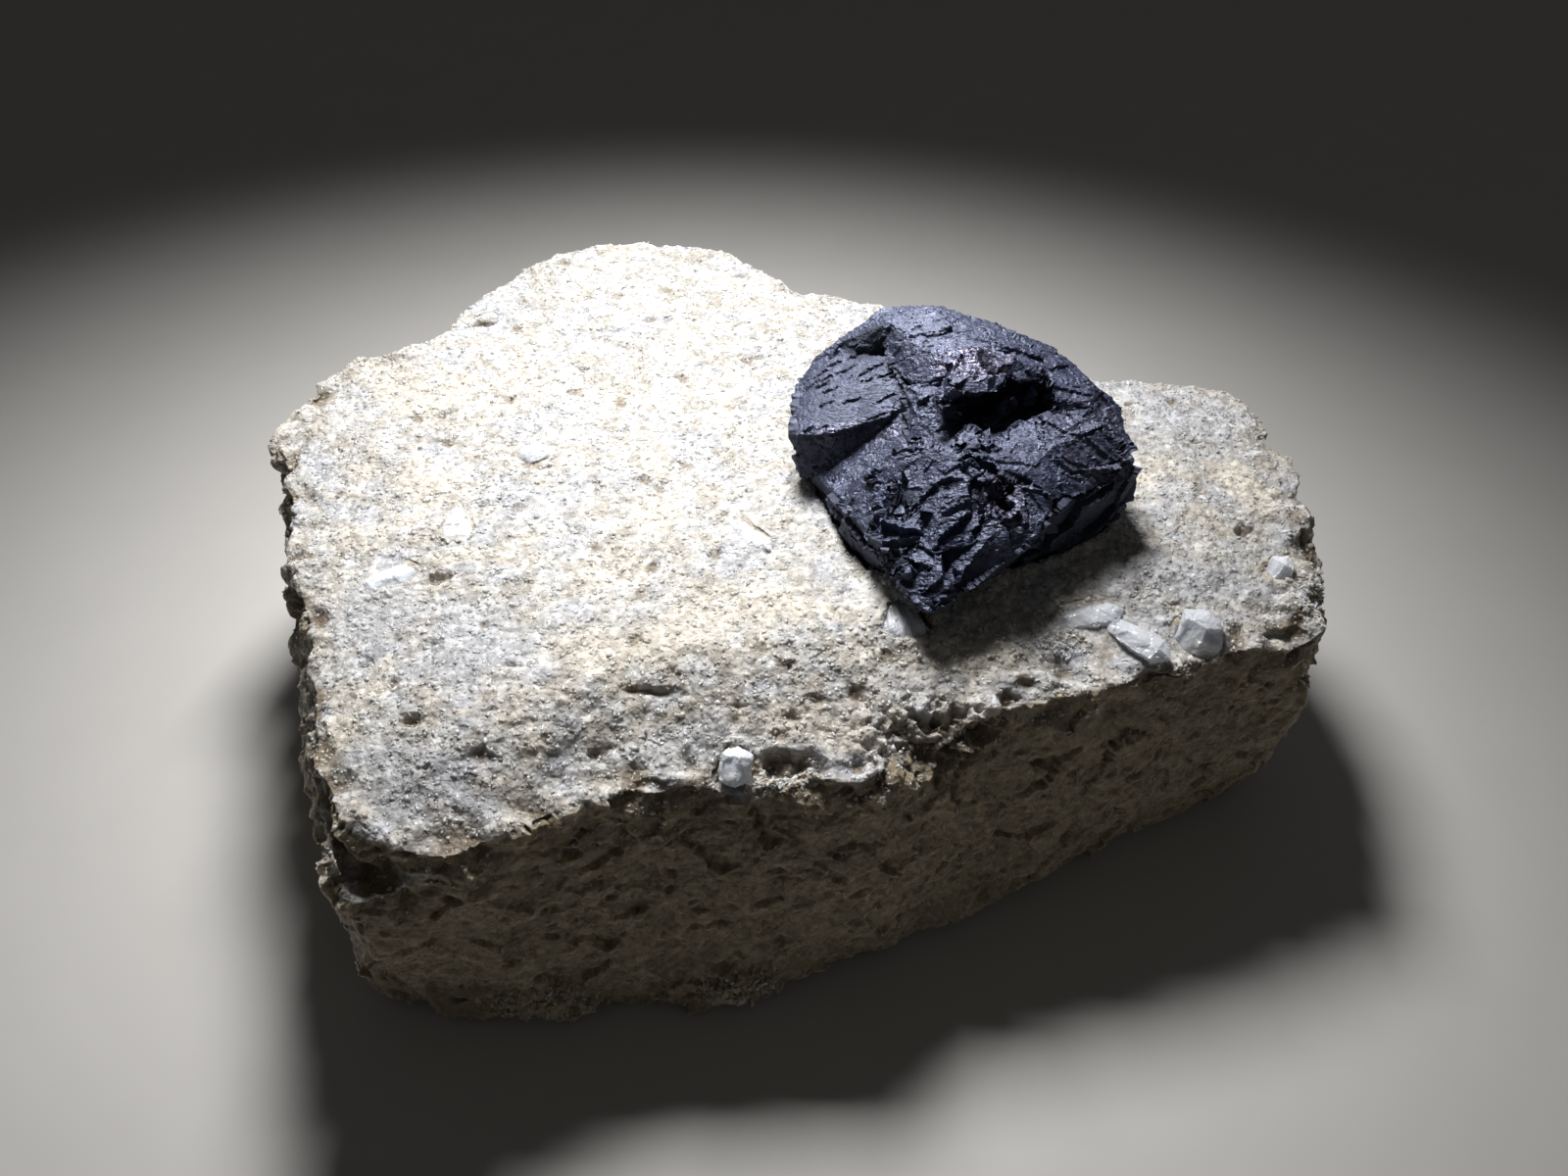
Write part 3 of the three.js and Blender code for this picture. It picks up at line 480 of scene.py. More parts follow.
def speckle(material, size, detail, stretch=None):
    """Noise from 0 to 1 with features of the given size."""
    place = object_place(material)
    if stretch:
        place = node(material, "Mapping", {"Vector": place, "Scale": stretch}).outputs["Vector"]
    inputs = {"Vector": place, "Scale": 1 / (size * MM), "Detail": detail, "Roughness": 0.55}
    return node(material, "TexNoise", inputs).outputs["Fac"]


def crystallites(material, size):
    """A random colour for each cell of the given size."""
    inputs = {"Vector": object_place(material), "Scale": 1 / (size * MM)}
    return node(material, "TexVoronoi", inputs).outputs["Color"]


def sugar_cells(material, size):
    """Cells of the given size with ragged borders: the distance from a cell's middle, and a value
    that each cell has for itself."""
    place = object_place(material)
    inputs = {"Vector": place, "Scale": 1.6 / (size * MM), "Detail": 2.0}
    bend = centred(material, node(material, "TexNoise", inputs).outputs["Color"])
    shift = vector_of(material, "SCALE", {0: bend, "Scale": 0.7 * size * MM})
    bent = vector_of(material, "ADD", {0: place, 1: shift})
    cells = node(material, "TexVoronoi", {"Vector": bent, "Scale": 1 / (size * MM)})
    return cells.outputs["Distance"], grey_of(material, cells.outputs["Color"])


def bumped(material, height, strength, distance):
    """A normal for small bumps of the given height map."""
    inputs = {"Height": height, "Strength": strength, "Distance": distance * MM}
    return node(material, "Bump", inputs).outputs["Normal"]


def glinting_normal(material, size, turn, height, strength):
    """A normal that turns at random in each crystallite, over a bumpy surface."""
    bump = bumped(material, height, strength, distance=0.25)
    random = centred(material, crystallites(material, size))
    scaled = vector_of(material, "SCALE", {0: random, "Scale": turn})
    added = vector_of(material, "ADD", {0: bump, 1: scaled})
    return vector_of(material, "NORMALIZE", {0: added})


def rock_colour(material):
    """The rock's mottled colour: beige and pale with grey and cream patches, and khaki where the
    attribute wall says so, which is partly the walls' own tone and partly painted shade. Grains use
    it too, so that they match the rock round them."""
    fine = speckle(material, size=0.5, detail=4)
    beige = mixed(material, fine, *BEIGE)
    grey = mixed(material, fine, *GREY)
    cream = mixed(material, fine, *CREAM)
    pale = mixed(material, fine, *PALE)
    khaki = mixed(material, speckle(material, size=2.2, detail=5), *KHAKI_AND_SHADE)
    paled = band(material, speckle(material, size=2.6, detail=5), 0.42, 0.58)
    greyed = band(material, speckle(material, size=4.5, detail=6, stretch=(1, 1.3, 1)), 0.52, 0.62)
    creamed = band(material, speckle(material, size=7.5, detail=6), 0.55, 0.64)
    colour = mixed(material, paled, beige, pale)
    colour = mixed(material, greyed, colour, grey)
    colour = mixed(material, creamed, colour, cream)
    colour = mixed(material, attribute(material, "cream"), colour, cream)
    colour = mixed(material, attribute(material, "grey"), colour, grey)
    # The walls' khaki share is partly their own tone and partly painted shade, most on the front
    # face.
    return mixed(material, attribute(material, "wall"), colour, khaki)


def shaded(material, colour, share, dark, light):
    """The colour times a factor that goes from dark to light as the share goes from 0 to 1."""
    factor = ranged(material, share, dark, light)
    return vector_of(material, "SCALE", {0: colour, "Scale": factor})


def rock_material():
    """Ragged sugar-like grains, each of its own shade, with a few sparks, and pits painted brown
    and dark: partly their own brown, partly painted shade.
    """
    material = material_of("sugary_rock", IOR=1.5, **TRANSLUCENT)
    near, value = sugar_cells(material, size=0.55)
    clump = band(material, speckle(material, size=1.3, detail=4), 0.35, 0.65)
    colour = shaded(material, rock_colour(material), value, 0.66, 1.34)
    colour = shaded(material, colour, clump, 0.86, 1.14)
    colour = shaded(material, colour, near, 1.08, 0.86)
    # Pits and hollows are painted brown and dark: partly their own brown, partly painted shade.
    pits = band(material, attribute(material, "pit"), 0.1, 0.9)
    feed(material, "Base Color", mixed(material, pits, colour, PIT_BROWN_AND_SHADE))

    spark = band(material, grey_of(material, crystallites(material, size=0.22)), 0.72, 0.76)
    feed(material, "Roughness", ranged(material, spark, 0.75, 0.12))

    height = math_of(material, "MULTIPLY", near, -1.0)
    grit = speckle(material, size=0.25, detail=4)
    height = math_of(material, "MULTIPLY_ADD", grit, 0.8, height)
    normal = glinting_normal(material, size=0.22, turn=0.3, height=height, strength=0.6)
    feed(material, "Normal", normal)
    return material


def grain_material(name, dark, light, rough, **values):
    """A material for loose grains, each of its own shade between dark and light times the rock's
    colour. The lighter ones are rougher, and a high rough makes all of them so."""
    material = material_of(name, IOR=1.54, **TRANSLUCENT, **values)
    shade = node(material, "NewGeometry").outputs["Random Per Island"]
    feed(material, "Base Color", shaded(material, rock_colour(material), shade, dark, light))
    feed(material, "Roughness", band(material, shade, -rough, 1.6))
    grit = speckle(material, size=0.12, detail=3)
    feed(material, "Normal", bumped(material, grit, strength=0.4, distance=0.1))
    return material


def sphalerite_material():
    """Blue-black and glossy, bronze on some parts. Painted shade makes it dull black on steep
    faces, in the cleavage cracks and on the face behind the shelf, and a little darker on the level
    shelf.
    """
    material = material_of("black_sphalerite", IOR=1.95, Specular_Tint=SPHALERITE_SHEEN)
    tint = mixed(material, speckle(material, size=1.2, detail=5), *BLUE_BLACK)
    glint = band(material, speckle(material, size=0.5, detail=5), 0.46, 0.62)
    bronze = mixed(material, glint, *BRONZE)
    bronzed = band(material, attribute(material, "bronze"), 0.1, 0.7)
    # The dark and crack attributes mix in painted shade: black on steep faces, on the face behind
    # the shelf, a little on the level shelf, and in the cleavage cracks.
    dark = attribute(material, "dark")
    colour = mixed(material, bronzed, tint, bronze)
    colour = mixed(material, dark, colour, STEEP_SHADE_BLACK)
    colour = mixed(material, attribute(material, "crack_shade"), colour, CRACK_SHADE_BLACK)
    feed(material, "Base Color", colour)
    feed(material, "Metallic", math_of(material, "MULTIPLY", bronzed, 0.5))

    plate = grey_of(material, crystallites(material, size=0.9))
    rough = ranged(material, plate, 0.4, 0.62)
    rough = math_of(material, "MULTIPLY_ADD", dark, 0.3, rough)
    rough = math_of(material, "MULTIPLY_ADD", bronzed, -0.16, rough)
    feed(material, "Roughness", rough)

    streak = speckle(material, size=0.22, detail=5, stretch=(0.4, 1.0, 1.6))
    normal = glinting_normal(material, size=0.16, turn=0.28, height=streak, strength=0.5)
    feed(material, "Normal", normal)
    return material


def quartz_material(name, milk, rough):
    """Crystal from clear at milk 0 to milky at 1."""
    material = material_of(
        name,
        IOR=1.544,
        Transmission_Weight=1 - milk,
        Subsurface_Weight=0.6,
        Subsurface_Radius=(1, 1, 1),
        Subsurface_Scale=0.001,
    )
    veil = speckle(material, size=0.7, detail=4, stretch=(1, 1, 0.5))
    feed(material, "Base Color", mixed(material, veil, *ICE))
    feed(material, "Roughness", ranged(material, veil, 0.4 * rough, 1.6 * rough))
    waves = speckle(material, size=0.4, detail=4)
    feed(material, "Normal", bumped(material, waves, strength=0.5, distance=0.15))
    depth = node(material, "VolumeAbsorption", {"Color": THROUGH_QUARTZ, "Density": 30})
    output = material.node_tree.nodes["Material Output"]
    material.node_tree.links.new(depth.outputs[0], output.inputs["Volume"])
    return material


# ---------------------------------------------------------------- the rock


def face_tree(name, keep=lambda face: True):
    """A search tree of the faces of a CAD node that keep says yes to."""
    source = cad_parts[name].data
    return BVHTree.FromPolygons(
        [vertex.co for vertex in source.vertices],
        [face.vertices for face in source.polygons if keep(face)],
    )


def distances(points, tree, most):
    """How far each point is from the faces in a tree, and no more than most."""
    found = [tree.find_nearest(Vector(point), most * MM)[3] for point in (points * MM).tolist()]
    return np.array([most if distance is None else distance / MM for distance in found])


def outer_wall(face):
    """Whether a face of the rock is on the upper part of its walls and not in a socket."""
    middle = np.array(face.center) / MM
    for low, high in SOCKETS:
        if ((middle > low - SOCKET_MARGIN) & (middle < high + SOCKET_MARGIN)).all():
            return False
    return face.normal.z < 0.45 and face.center.z > UPPER_WALL * MM


def top_face(face):
    return face.normal.z > 0.6 and face.center.z > TOP_HEIGHTS[0] * MM


def surface_height(tree, x, y):
    """Height of the rock's top face, found by looking down from above the specimen."""
    hit = tree.ray_cast(Vector((x * MM, y * MM, LOOKED_FROM * MM)), Vector((0, 0, -1)))[0]
    return None if hit is None else hit.z / MM


def face_round(name, tree):
    """The plane of the rock's face round an embedded crystal: its slopes in x and y, its height
    at the crystal's middle, and that middle."""
    middle, half = box_mm(name)
    ring = []
    for step in range(RING_STEPS):
        angle = 2 * math.pi * step / RING_STEPS
        x = middle[0] + (half[0] + RING_GAP) * math.cos(angle)
        y = middle[1] + (half[1] + RING_GAP) * math.sin(angle)
        height = surface_height(tree, x, y)
        if height is not None and height > TOP_HEIGHTS[0]:
            ring.append((x - middle[0], y - middle[1], height))
    ring = np.array(ring)
    columns = np.c_[ring[:, :2], np.ones(len(ring))]
    slope_x, slope_y, height = np.linalg.lstsq(columns, ring[:, 2], rcond=None)[0]
    return slope_x, slope_y, height, middle


def plug(name, tree):
    """A copy of an embedded crystal, a little larger, cut off at the face of the rock round it:
    it closes the socket, so that the rock meets the crystal."""
    slope_x, slope_y, height, middle = face_round(name, tree)
    mesh = bmesh.new()
    mesh.from_mesh(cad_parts[name].data)
    mesh.normal_update()
    for vertex in mesh.verts:
        vertex.co += vertex.normal * PLUG_MARGIN * MM
    cut = bmesh.ops.bisect_plane(
        mesh,
        geom=mesh.verts[:] + mesh.edges[:] + mesh.faces[:],
        plane_co=(middle[0] * MM, middle[1] * MM, (height - PLUG_DROP) * MM),
        plane_no=(-slope_x, -slope_y, 1),
        clear_outer=True,
    )
    edges = [item for item in cut["geom_cut"] if isinstance(item, bmesh.types.BMEdge)]
    bmesh.ops.holes_fill(mesh, edges=edges)
    return mesh


def rock_body():
    """The rock with its sockets plugged, as one fine mesh."""
    tree = face_tree(ROCK)
    joined = bmesh.new()
    joined.from_mesh(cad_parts[ROCK].data)
    for name in [CRYSTAL, *QUARTZ]:
        cap = plug(name, tree)
        filler = bpy.data.meshes.new("filler")
        cap.to_mesh(filler)
        joined.from_mesh(filler)
        cap.free()
        bpy.data.meshes.remove(filler)
    mesh = bpy.data.meshes.new("rock_body")
    joined.to_mesh(mesh)
    joined.free()
    return remeshed(link("rock_body", mesh), ROCK_VOXEL)


def sockets_filled(points):
    """The points, with the ones that lie in a quartz crystal's socket lifted to the rock's face."""
    tree = face_tree(ROCK)
    points = points.copy()
    for name in QUARTZ:
        slope_x, slope_y, height, middle = face_round(name, tree)
        low, half = corners_mm(name)[0], box_mm(name)[1]
        offset = points - middle
        reach = np.linalg.norm(offset[:, :2] / (half[:2] + FILL_REACH), axis=1)
        face = height + slope_x * offset[:, 0] + slope_y * offset[:, 1] - FILL_DROP
        inside = (reach < 1) & (points[:, 2] > low[2] - FILL_DEPTH) & (points[:, 2] < face)
        share = smoothstep(1, 0.85, reach) * inside
        points[:, 2] += share * (face - points[:, 2])
    return points


def rock_zones(points, normals):
    """Shares of the top face, the walls and the base at each point."""
    up = smoothstep(0.35, 0.75, normals[:, 2])
    top = up * smoothstep(*TOP_HEIGHTS, points[:, 2])
    base = smoothstep(*BASE_HEIGHTS, points[:, 2])
    return top, np.clip(1 - top - base, 0, 1), base


def off_quartz(points, margin, near, far):
    """Seen from above, from 0 on a quartz crystal to 1 clear of all of them. Near and far are in
    half sizes of a crystal's box with the margin added."""
    share = np.ones(len(points))
    for name in QUARTZ:
        middle, half = box_mm(name)
        away = np.linalg.norm((points - middle)[:, :2] / (half[:2] + margin), axis=1)
        share = np.minimum(share, smoothstep(near, far, away))
    return share


def wall_tone_and_shade(points, normals):
    """How much of the walls' khaki colour shows: partly their own tone, and more on the front face,
    which looks away from the key lamp, as painted shade.
    """
    wall = rock_zones(points, normals)[1]
    return wall * (0.4 + 0.55 * smoothstep(-0.1, -0.6, normals[:, 1]))


def patch_colour(points):
    """From -1 in the blue-grey patches to 1 in the cream ones, with ragged borders."""
    ragged = 0.7 * noise(points, size=3, seed=79, octaves=4)
    tone = np.zeros(len(points))
    for middle, radii, colour in PATCHES:
        away = np.linalg.norm(((points - ROCK_LOW)[:, :2] - middle) / radii, axis=1) + ragged
        tone += colour * smoothstep(1.25, 0.55, away)
    return np.clip(tone, -1, 1)


def put_looks(mesh, points, normals, repeat=1):
    """Stores where the rock's colours and the walls' painted shade go, the same for repeat vertices
    on end.
    """
    put_attribute(mesh, "wall", np.repeat(wall_tone_and_shade(points, normals), repeat))
    tone = patch_colour(points)
    put_attribute(mesh, "cream", np.repeat(np.maximum(tone, 0), repeat))
    put_attribute(mesh, "grey", np.repeat(np.maximum(-tone, 0), repeat))


def rock_lumps(points, normals, top, wall, fine):
    """How far out each point moves: broad breaks on the walls, lumps, then sugary grains. The
    faces that don't look to the front are lumpier."""
    move = wall * facets(points, normals, size=5, seed=3, tilt=0.1, limit=0.5)
    move += wall * facets(points, normals, size=2.2, seed=5, tilt=0.12, limit=0.2)
    move += (0.22 * top + 0.2 * wall) * noise(points, size=4.5, seed=11, octaves=3)
    unseen = smoothstep(-0.5, -0.1, normals[:, 1])
    move += 0.5 * unseen * (wall + 0.15 * top) * noise(points, size=3.5, seed=13, octaves=3)
    move += (0.17 * top + 0.15 * wall) * noise(points, size=1.3, seed=23, octaves=3) * fine
    near = cellular(points, size=0.9, seed=31)[0]
    move += (0.22 * top + 0.2 * wall) * (0.55 - near) * fine
    return move


def rock_pits(points, top, wall, clear):
    """Shares of small pits: scattered on the top, in level rows on the walls, and short grooves
    on the top."""
    bent = points + 0.5 * wobble(points, size=1.1, seed=91, octaves=2)
    dots = holes(bent, size=2.4, seed=47, rim=0.42, core=0.1, without=0.84)
    rows = holes(
        bent, size=1.5, seed=53, rim=0.42, core=0.18, without=0.72, stretch=(1.7, 1.7, 0.8)
    )
    grooves = holes(
        bent, size=1.5, seed=59, rim=0.25, core=0.08, without=0.85, stretch=(3.2, 0.8, 1)
    )
    pit = np.maximum(top * clear * dots, wall * rows)
    return np.maximum(pit, 0.7 * top * clear * grooves)


def dented(points, move, pit, fine, ragged):
    """The move and the pits with the hollows and swellings of DENTS worked in."""
    for middle, radii, depth, brown in DENTS:
        away = np.linalg.norm((points - ROCK_LOW - middle) / radii, axis=1) + ragged
        dent = smoothstep(1, 0.25, away)
        move = move - depth * dent * fine
        pit = np.maximum(pit, brown * dent)
    return move, pit


def brink_share(points, clear, beside):
    """How ragged the brink between the top and the walls is: most at the front and on the left
    flank, and not at all by the crystals."""
    left = smoothstep(-32, -39, points[:, 0]) * smoothstep(22, 12, points[:, 1])
    front = 0.25 + 0.75 * np.maximum(left, smoothstep(10, -8, points[:, 1]))
    brink = smoothstep(3, 0.8, distances(points, face_tree(ROCK, outer_wall), most=4))
    brink *= smoothstep(5, 1, distances(points, face_tree(ROCK, top_face), most=6))
    brink *= front * clear * smoothstep(1, 3, beside)
    return brink


def sculpt_rock(piece):
    """The rock with its relief, and with the attributes that its material reads."""
    points, normals = places(piece.data)
    top, wall, base = rock_zones(points, normals)
    clear = off_quartz(points, margin=0.6, near=0.7, far=1.25)
    beside = distances(points, face_tree(CRYSTAL), most=4)
    fine = 0.4 + 0.6 * clear  # the relief is calmer beside the quartz
    move = rock_lumps(points, normals, top, wall, fine)

    pit = rock_pits(points, top, wall, clear)
    move -= (0.32 + 0.1 * wall) * pit
    ragged = 0.4 * noise(points, size=1.3, seed=67, octaves=3)
    move, pit = dented(points, move, 0.75 * pit, fine, ragged)

    # The brink stands out and falls in, and its hollows are painted brown and dark: partly their
    # own brown, partly painted shade.
    brink = brink_share(points, clear, beside)
    rugged = noise(points, size=3, seed=71, octaves=2)
    move += brink * (0.9 * rugged - 0.15)
    pit = np.maximum(pit, 0.85 * brink * smoothstep(-0.02, -0.3, rugged + 0.3 * ragged))

    # Round the sphalerite the rock rises a little to meet it. The base stays flat.
    move += 0.5 * top * smoothstep(1.5, 0.3, beside)
    move *= 1 - base
    moved = sockets_filled(points) + normals * move[:, None]
    moved[:, 2] = np.where(base > 0.5, np.maximum(points[:, 2], 0), np.maximum(moved[:, 2], 0))
    put_places(piece.data, moved)

    # The pit attribute paints pits and hollows brown and dark, partly their own brown and partly
    # painted shade.
    put_attribute(piece.data, "pit", pit)
    put_looks(piece.data, points, normals)
    return thinned(piece)


# ---------------------------------------------------------------- grains

# A grain's six corners and eight faces before it is skewed.
GRAIN_CORNERS = np.array([[1, 0, 0], [0, 1, 0], [-1, 0, 0], [0, -1, 0], [0, 0, 1], [0, 0, -1]])
GRAIN_FACES = np.array(
    [[0, 1, 4], [1, 2, 4], [2, 3, 4], [3, 0, 4], [1, 0, 5], [2, 1, 5], [3, 2, 5], [0, 3, 5]]
)
GRAIN_SKEW = 0.35
NEVER = 1e-6  # a weight that puts almost no grains in a place


def triangles_of(piece):
    """Corner points, normals and areas of a piece's triangles."""
    mesh = piece.data
    mesh.calc_loop_triangles()
    index = np.zeros(len(mesh.loop_triangles) * 3, np.int32)
    mesh.loop_triangles.foreach_get("vertices", index)
    points, _ = places(mesh)
    corners = points[index.reshape(-1, 3)]
    across = np.cross(corners[:, 1] - corners[:, 0], corners[:, 2] - corners[:, 0])
    double = np.linalg.norm(across, axis=1)
    return corners, across / (double[:, None] + 1e-12), double / 2


def turns(count, random):
    """Random rotation matrices."""
    quaternion = random.normal(size=(count, 4))
    w, x, y, z = (quaternion / np.linalg.norm(quaternion, axis=1, keepdims=True)).T
    return np.stack(
        [
            np.stack([1 - 2 * (y * y + z * z), 2 * (x * y - z * w), 2 * (x * z + y * w)], axis=1),
            np.stack([2 * (x * y + z * w), 1 - 2 * (x * x + z * z), 2 * (y * z - x * w)], axis=1),
            np.stack([2 * (x * z - y * w), 2 * (y * z + x * w), 1 - 2 * (x * x + y * y)], axis=1),
        ],
        axis=1,
    )


def angular_grains(name, middles, sizes, random, ways, flat, smooth):
    """Many small skewed eight-sided grains, joined in one mesh. Each grain is pressed along its
    way to the share flat of its thickness."""
    count = len(middles)
    shape = GRAIN_CORNERS + random.uniform(-GRAIN_SKEW, GRAIN_SKEW, (count, 6, 3))
    shape *= random.uniform(0.6, 1.25, (count, 1, 3)) * (sizes / 2)[:, None, None]
    shape = np.einsum("nij,nkj->nki", turns(count, random), shape)
    rise = np.einsum("nki,ni->nk", shape, ways)
    shape -= (1 - flat) * rise[:, :, None] * ways[:, None, :]
    shape += middles[:, None, :]
    faces = (GRAIN_FACES[None] + 6 * np.arange(count)[:, None, None]).reshape(-1, 3)
    piece = link(name, mesh_of(name, shape.reshape(-1, 3), faces))
    piece.data.polygons.foreach_set("use_smooth", [smooth] * len(faces))
    return piece


def scattered(name, rock, count, size, seed, weight, sunk=(-0.22, -0.05), flat=0.6, smooth=True):
    """Grains partly sunk in the rock's surface, denser where weight says so. Size gives the
    smallest and the largest, and sunk how far out their middles lie, in grain sizes."""
    random = np.random.default_rng(seed)
    corners, normals, areas = triangles_of(rock)
    middles = corners.mean(axis=1)
    chance = areas * weight(middles, normals)
    chosen = random.choice(len(areas), count, p=chance / chance.sum())
    a, b = random.random((2, count))
    a, b = np.where(a + b > 1, [1 - a, 1 - b], [a, b])
    c = corners[chosen]
    place = c[:, 0] + a[:, None] * (c[:, 1] - c[:, 0]) + b[:, None] * (c[:, 2] - c[:, 0])
    sizes = random.uniform(size[0], size[1], count) * random.uniform(0.75, 1.1, count)
    place += normals[chosen] * (sizes * random.uniform(*sunk, count))[:, None]
    place[:, 2] = np.maximum(place[:, 2], 0.8 * sizes)
    piece = angular_grains(name, place, sizes, random, normals[chosen], flat, smooth)
    put_looks(piece.data, place, normals[chosen], len(GRAIN_CORNERS))
    return piece


def on_top(middles, normals):
    """Most on the top face, some on the walls, none near the base or on the quartz crystals."""
    top = smoothstep(0.3, 0.7, normals[:, 2]) * smoothstep(*TOP_HEIGHTS, middles[:, 2])
    under = smoothstep(1.0, 2.5, middles[:, 2])
    clear = off_quartz(middles, margin=0.3, near=0.6, far=1.05)
    return (top + 0.12 * (1 - top) * under) * clear + NEVER


def in_patches(middles, normals):
    """As on_top, but more in some patches than in others."""
    patches = smoothstep(-0.1, 0.6, noise(middles, size=6, seed=83, octaves=3))
    return on_top(middles, normals) * (0.3 + patches)


def in_druses(middles, normals):
    """Only in the crusts of DRUSES."""
    weight = np.full(len(middles), NEVER)
    for middle, radii in DRUSES:
        away = np.linalg.norm((middles - ROCK_LOW - middle) / radii, axis=1)
        weight = np.maximum(weight, smoothstep(1, 0.4, away))
    return weight


# ---------------------------------------------------------------- the sphalerite


def zone(points, name):
    """A share from 1 within a part of the sphalerite to 0 outside it."""
    middle, radii = ZONES[name]
    away = np.linalg.norm((points - CRYSTAL_LOW - middle) / radii, axis=1)
    return smoothstep(1, 0.6, away)


def lips(points, size, seed, heading, share, stretch=(2.6, 0.75, 1.6)):
    """Short cleavage lips across the way that the heading gives, in degrees, in the given share
    of the cells: on one side of a lip the surface drops at once, and then it slowly rises again."""
    turn = math.radians(heading)
    along = np.array(
        [[math.cos(turn), math.sin(turn), 0], [-math.sin(turn), math.cos(turn), 0], [0, 0, 1]]
    )
    wavy = points @ along.T
    wavy[:, 1] += 0.25 * size * noise(points, 0.8 * size, seed + 3, 2)
    _, number, _, way = cellular(wavy, size, seed, stretch)
    drop = np.where(way[:, 1] < 0, np.exp(way[:, 1] / 0.25), 0)
    end = smoothstep(0.42, 0.25, np.abs(way[:, 0]))
    return drop * end * (number < share)


def sphalerite_relief(points, normals, zones, level):
    """How far out each point moves: cleavage blocks, plates and chips, rough on the nose and the
    steep sides and calm on the shelf and the ridge, and shards instead on the peak."""
    blocks = facets(
        points, normals, size=4.0, seed=9, stretch=(1.2, 1, 1), snap=0.55, limit=0.7
    )
    plates = facets(
        points, normals, size=1.4, seed=7, stretch=(1.6, 0.8, 1), tilt=0.14, limit=0.4
    )
    chips = facets(
        points, normals, size=0.75, seed=21, stretch=(1.5, 0.8, 1), tilt=0.22, limit=0.2
    )
    shards = facets(points, normals, size=2.3, seed=15, tilt=0.3, limit=0.5)
    peak, hump, pit, ridge = zones["peak"], zones["hump"], zones["pit"], zones["ridge"]
    calm = (1 - 0.8 * zones["shelf"] * level) * (1 - 0.5 * ridge * level)
    rough = np.maximum(zones["nose"], 1 - level)
    move = (0.3 + 0.7 * rough) * calm * (1 - peak) * blocks
    move += (0.4 + 0.05 * rough) * calm * (1 - peak) * plates
    move += (0.25 + 0.2 * rough) * calm * (1 - 0.6 * peak) * chips + peak * shards
    move += 0.12 * calm * (1 - peak) * noise(points, size=3, seed=27, octaves=3)
    grit = noise(points, size=0.5, seed=17, octaves=2)
    move += (0.03 + 0.10 * hump + 0.05 * pit + 0.03 * ridge) * grit
    streak = points @ np.array([0.55, 0.75, 0.35])
    waves = np.sin(streak * 8 + 3 * noise(points, size=2, seed=61))
    move += 0.05 * zones["shoulder"] * waves
    return move


def sculpt_sphalerite():
    """A finer copy of the sphalerite with its cleavage, which leaves the sunk part as it is."""
    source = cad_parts[CRYSTAL].data.copy()
    piece = remeshed(link("sphalerite_body", source), CRYSTAL_VOXEL)
    points, normals = places(piece.data)
    above = smoothstep(*CRYSTAL_HEIGHTS, points[:, 2])
    level = smoothstep(0.25, 0.7, normals[:, 2])
    steep = smoothstep(0.45, 0.1, normals[:, 2])
    zones = {name: zone(points, name) for name in ZONES}
    move = sphalerite_relief(points, normals, zones, level)

    # Long lips on the shelf and the ridge, short ones beside the shelf, curved ones at the tip.
    lying = level * (1 - zones["peak"])
    long = lips(points, size=1.0, seed=19, heading=8, share=0.5) * lying
    long = long * np.maximum(zones["shelf"], 0.35 * zones["ridge"])
    short = lips(points, size=0.6, seed=37, heading=-12, share=0.28, stretch=(2, 0.8, 1.6))
    short = short * lying * (1 - zones["shelf"])
    curved = lips(points, size=0.55, seed=43, heading=-25, share=0.7, stretch=(4, 0.9, 1.6))
    curved = curved * lying * zones["tip"]
    move -= 0.32 * long + (0.08 + 0.04 * zones["nose"]) * short + 0.16 * curved
    put_places(piece.data, points + normals * (move * above)[:, None])

    bronze = 0.75 * zones["cap"] + 0.55 * zones["pit"] + 0.6 * zones["brink"]
    bronze = bronze + 0.3 * zones["shoulder"]
    # The crack and dark attributes are painted shade: black in the cleavage lips, on steep faces
    # and on the face behind the shelf, and a little darker on the level shelf.
    crack_shade = np.maximum(np.maximum(long, 0.9 * curved), 0.8 * short)
    dark = np.maximum(zones["facet"], 0.35 * zones["shelf"] * level)
    put_attribute(piece.data, "bronze", np.clip(bronze, 0, 1))
    put_attribute(piece.data, "crack_shade", smoothstep(0.5, 0.9, crack_shade))
    put_attribute(piece.data, "dark", np.maximum(dark, 0.8 * steep))
    return thinned(piece)


# ---------------------------------------------------------------- the quartz


def growth_axes(name, offset):
    """How far along a quartz crystal each point lies, how far across its growth lines, and the
    directions of its length and its width. The fan's growth lines spread from its apex."""
    if name != FAN:
        length, width = np.linalg.svd(offset, full_matrices=False)[2][:2]
        return offset @ length, offset @ width, length, width
    turn = math.radians(FAN_HEADING)
    length = np.array([math.cos(turn), math.sin(turn), 0])
    width = np.array([-math.sin(turn), math.cos(turn), 0])
    reach = offset @ length
    growth = 5 * np.arctan2(offset @ width, reach + FAN_APEX)
    return reach, growth, length, width


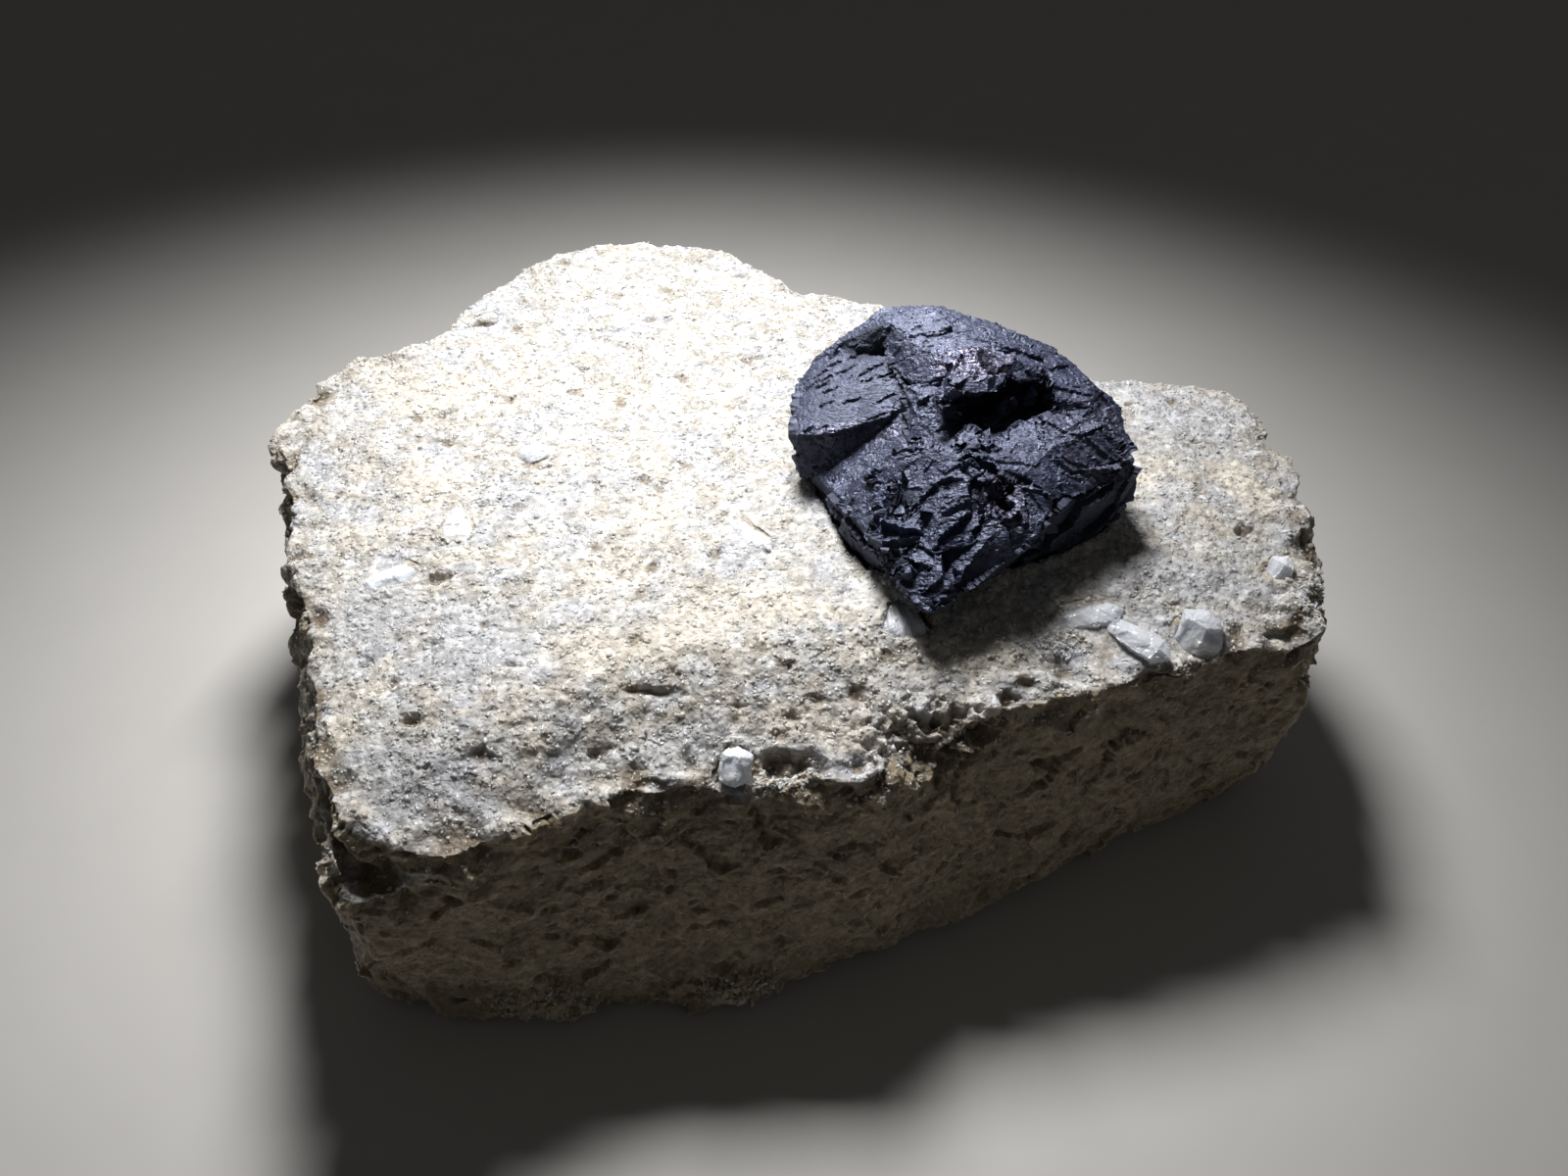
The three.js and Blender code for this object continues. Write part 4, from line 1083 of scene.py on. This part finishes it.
def sculpt_quartz(name):
    """A finer copy of a quartz node, with broken edges, chips and growth lines along it."""
    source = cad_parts[name].data.copy()
    piece = remeshed(link(name.replace("quartz", "clear_quartz"), source), QUARTZ_VOXEL)
    points, normals = places(piece.data)
    offset = points - points.mean(axis=0)
    reach, growth, length, width = growth_axes(name, offset)
    line_size, line_height = (0.3, 0.26) if name == FAN else (0.5, 0.09)
    lines = noise(np.c_[growth, 0.1 * reach, 0 * reach], line_size, seed=13, octaves=2)
    move = facets(points, normals, size=1.6, seed=3, tilt=0.08, limit=0.12)
    lumps = noise(points, size=1.5, seed=5, octaves=2)
    move += line_height * lines + 0.12 * lumps + 0.03 * noise(points, size=0.4, seed=9)
    points = points + normals * move[:, None]
    if name == FAN:
        back = np.maximum(-reach, 0)[:, None]
        points += (FAN_GROWTH - 1) * reach[:, None] * length + FAN_SHIFT
        points += back * (FAN_BACK * -length + FAN_LEAN)
    elif "splinter" in name:
        points += SPLINTER_WIDER * (offset @ width)[:, None] * width
    elif name in SUNKEN:
        points[:, 2] -= SUNKEN[name]
    put_places(piece.data, points)
    return piece


# ---------------------------------------------------------------- assembly


def dress(piece, material, slot, *nodes):
    """Gives a piece its material, puts it under the root body, and hides the CAD nodes that it
    stands in for, if any.
    """
    piece.data.materials.clear()
    piece.data.materials.append(material)
    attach(piece, "root")
    if nodes:
        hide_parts(*nodes)


rock = sculpt_rock(rock_body())
pale = scattered("pale_grains", rock, count=24000, size=(0.35, 0.65), seed=101, weight=on_top)
dull = scattered("dull_grains", rock, count=12000, size=(0.35, 0.7), seed=103, weight=in_patches)
glassy = scattered(
    "glassy_grains",
    rock,
    count=1500,
    size=(0.2, 0.4),
    seed=107,
    weight=on_top,
    sunk=(-0.1, 0.1),
    flat=0.8,
    smooth=False,
)
druse = scattered(
    "drusy_grains",
    rock,
    count=2000,
    size=(0.35, 0.8),
    seed=109,
    weight=in_druses,
    sunk=(-0.3, 0.05),
    flat=0.9,
    smooth=False,
)
sphalerite = sculpt_sphalerite()

dress(rock, rock_material(), "rock", ROCK)
dress(pale, grain_material("pale_grain", dark=0.98, light=1.2, rough=0.2), "rock")
dress(dull, grain_material("dull_grain", dark=0.95, light=1.12, rough=0.0), "rock")
sugar = grain_material("glassy_grain", dark=0.95, light=1.35, rough=0.6, Transmission_Weight=0.15)
dress(glassy, sugar, "quartz")
dress(druse, grain_material("drusy_grain", dark=1.25, light=1.7, rough=0.5), "quartz")
dress(sphalerite, sphalerite_material(), "sphalerite", CRYSTAL)

clear_look = quartz_material("clear_quartz", milk=0.66, rough=0.16)
milky_look = quartz_material("milky_quartz", milk=0.9, rough=0.25)
for name in QUARTZ:
    look = clear_look if name in CLEAR else milky_look
    dress(sculpt_quartz(name), look, "quartz", name)

# ---------------------------------------------------------------- floor, light and camera


def floor():
    """A plain pale table."""
    signs = ((-1, -1), (1, -1), (1, 1), (-1, 1))
    corners = [(x * FLOOR_HALF, y * FLOOR_HALF, 0) for x, y in signs]
    piece = link("floor", mesh_of("floor", corners, [(0, 1, 2, 3)]))
    material = material_of("pale_table", Roughness=0.8)
    feed(material, "Base Color", mixed(material, speckle(material, size=12, detail=5), *TABLE))
    piece.data.materials.append(material)


def lamp(name, place, target, size, power, colour, spread=180):
    """A square lamp that shines from its place to its target, with its spread in degrees."""
    light = bpy.data.lights.new(name, "AREA")
    light.spread = math.radians(spread)
    light.size = size
    light.energy = power
    light.color = colour
    piece = link(name, light)
    piece.location = place
    piece.visible_camera = False
    piece.rotation_euler = (Vector(target) - Vector(place)).to_track_quat("-Z", "Y").to_euler()


def daylight(strength):
    """Even light from all sides."""
    world = bpy.data.worlds.new("soft_room")
    world.use_nodes = True
    background = world.node_tree.nodes["Background"]
    background.inputs["Color"].default_value = ROOM_LIGHT
    background.inputs["Strength"].default_value = strength
    bpy.context.scene.world = world


def camera():
    """The photo's camera."""
    lens = bpy.data.cameras.new("camera")
    lens.sensor_width = SENSOR
    lens.lens = CAMERA_LENS
    lens.clip_start = CAMERA_NEAR
    piece = link("camera", lens)
    piece.location = CAMERA_PLACE
    piece.rotation_euler = (math.radians(90 - CAMERA_PITCH), 0, 0)
    bpy.context.scene.camera = piece


floor()
lamp(
    "key",
    place=(-0.010, 0.050, 0.140),
    target=(-0.014, -0.008, 0.0),
    size=0.04,
    power=0.14,
    colour=(1, 0.99, 0.98),
    spread=102,
)
lamp(
    "fill",
    place=(0.30, -0.30, 0.12),
    target=(0, 0, 0.02),
    size=0.3,
    power=0.032,
    colour=(1, 0.98, 0.95),
)
daylight(strength=0.038)
camera()
bpy.context.scene.view_settings.view_transform = "Standard"
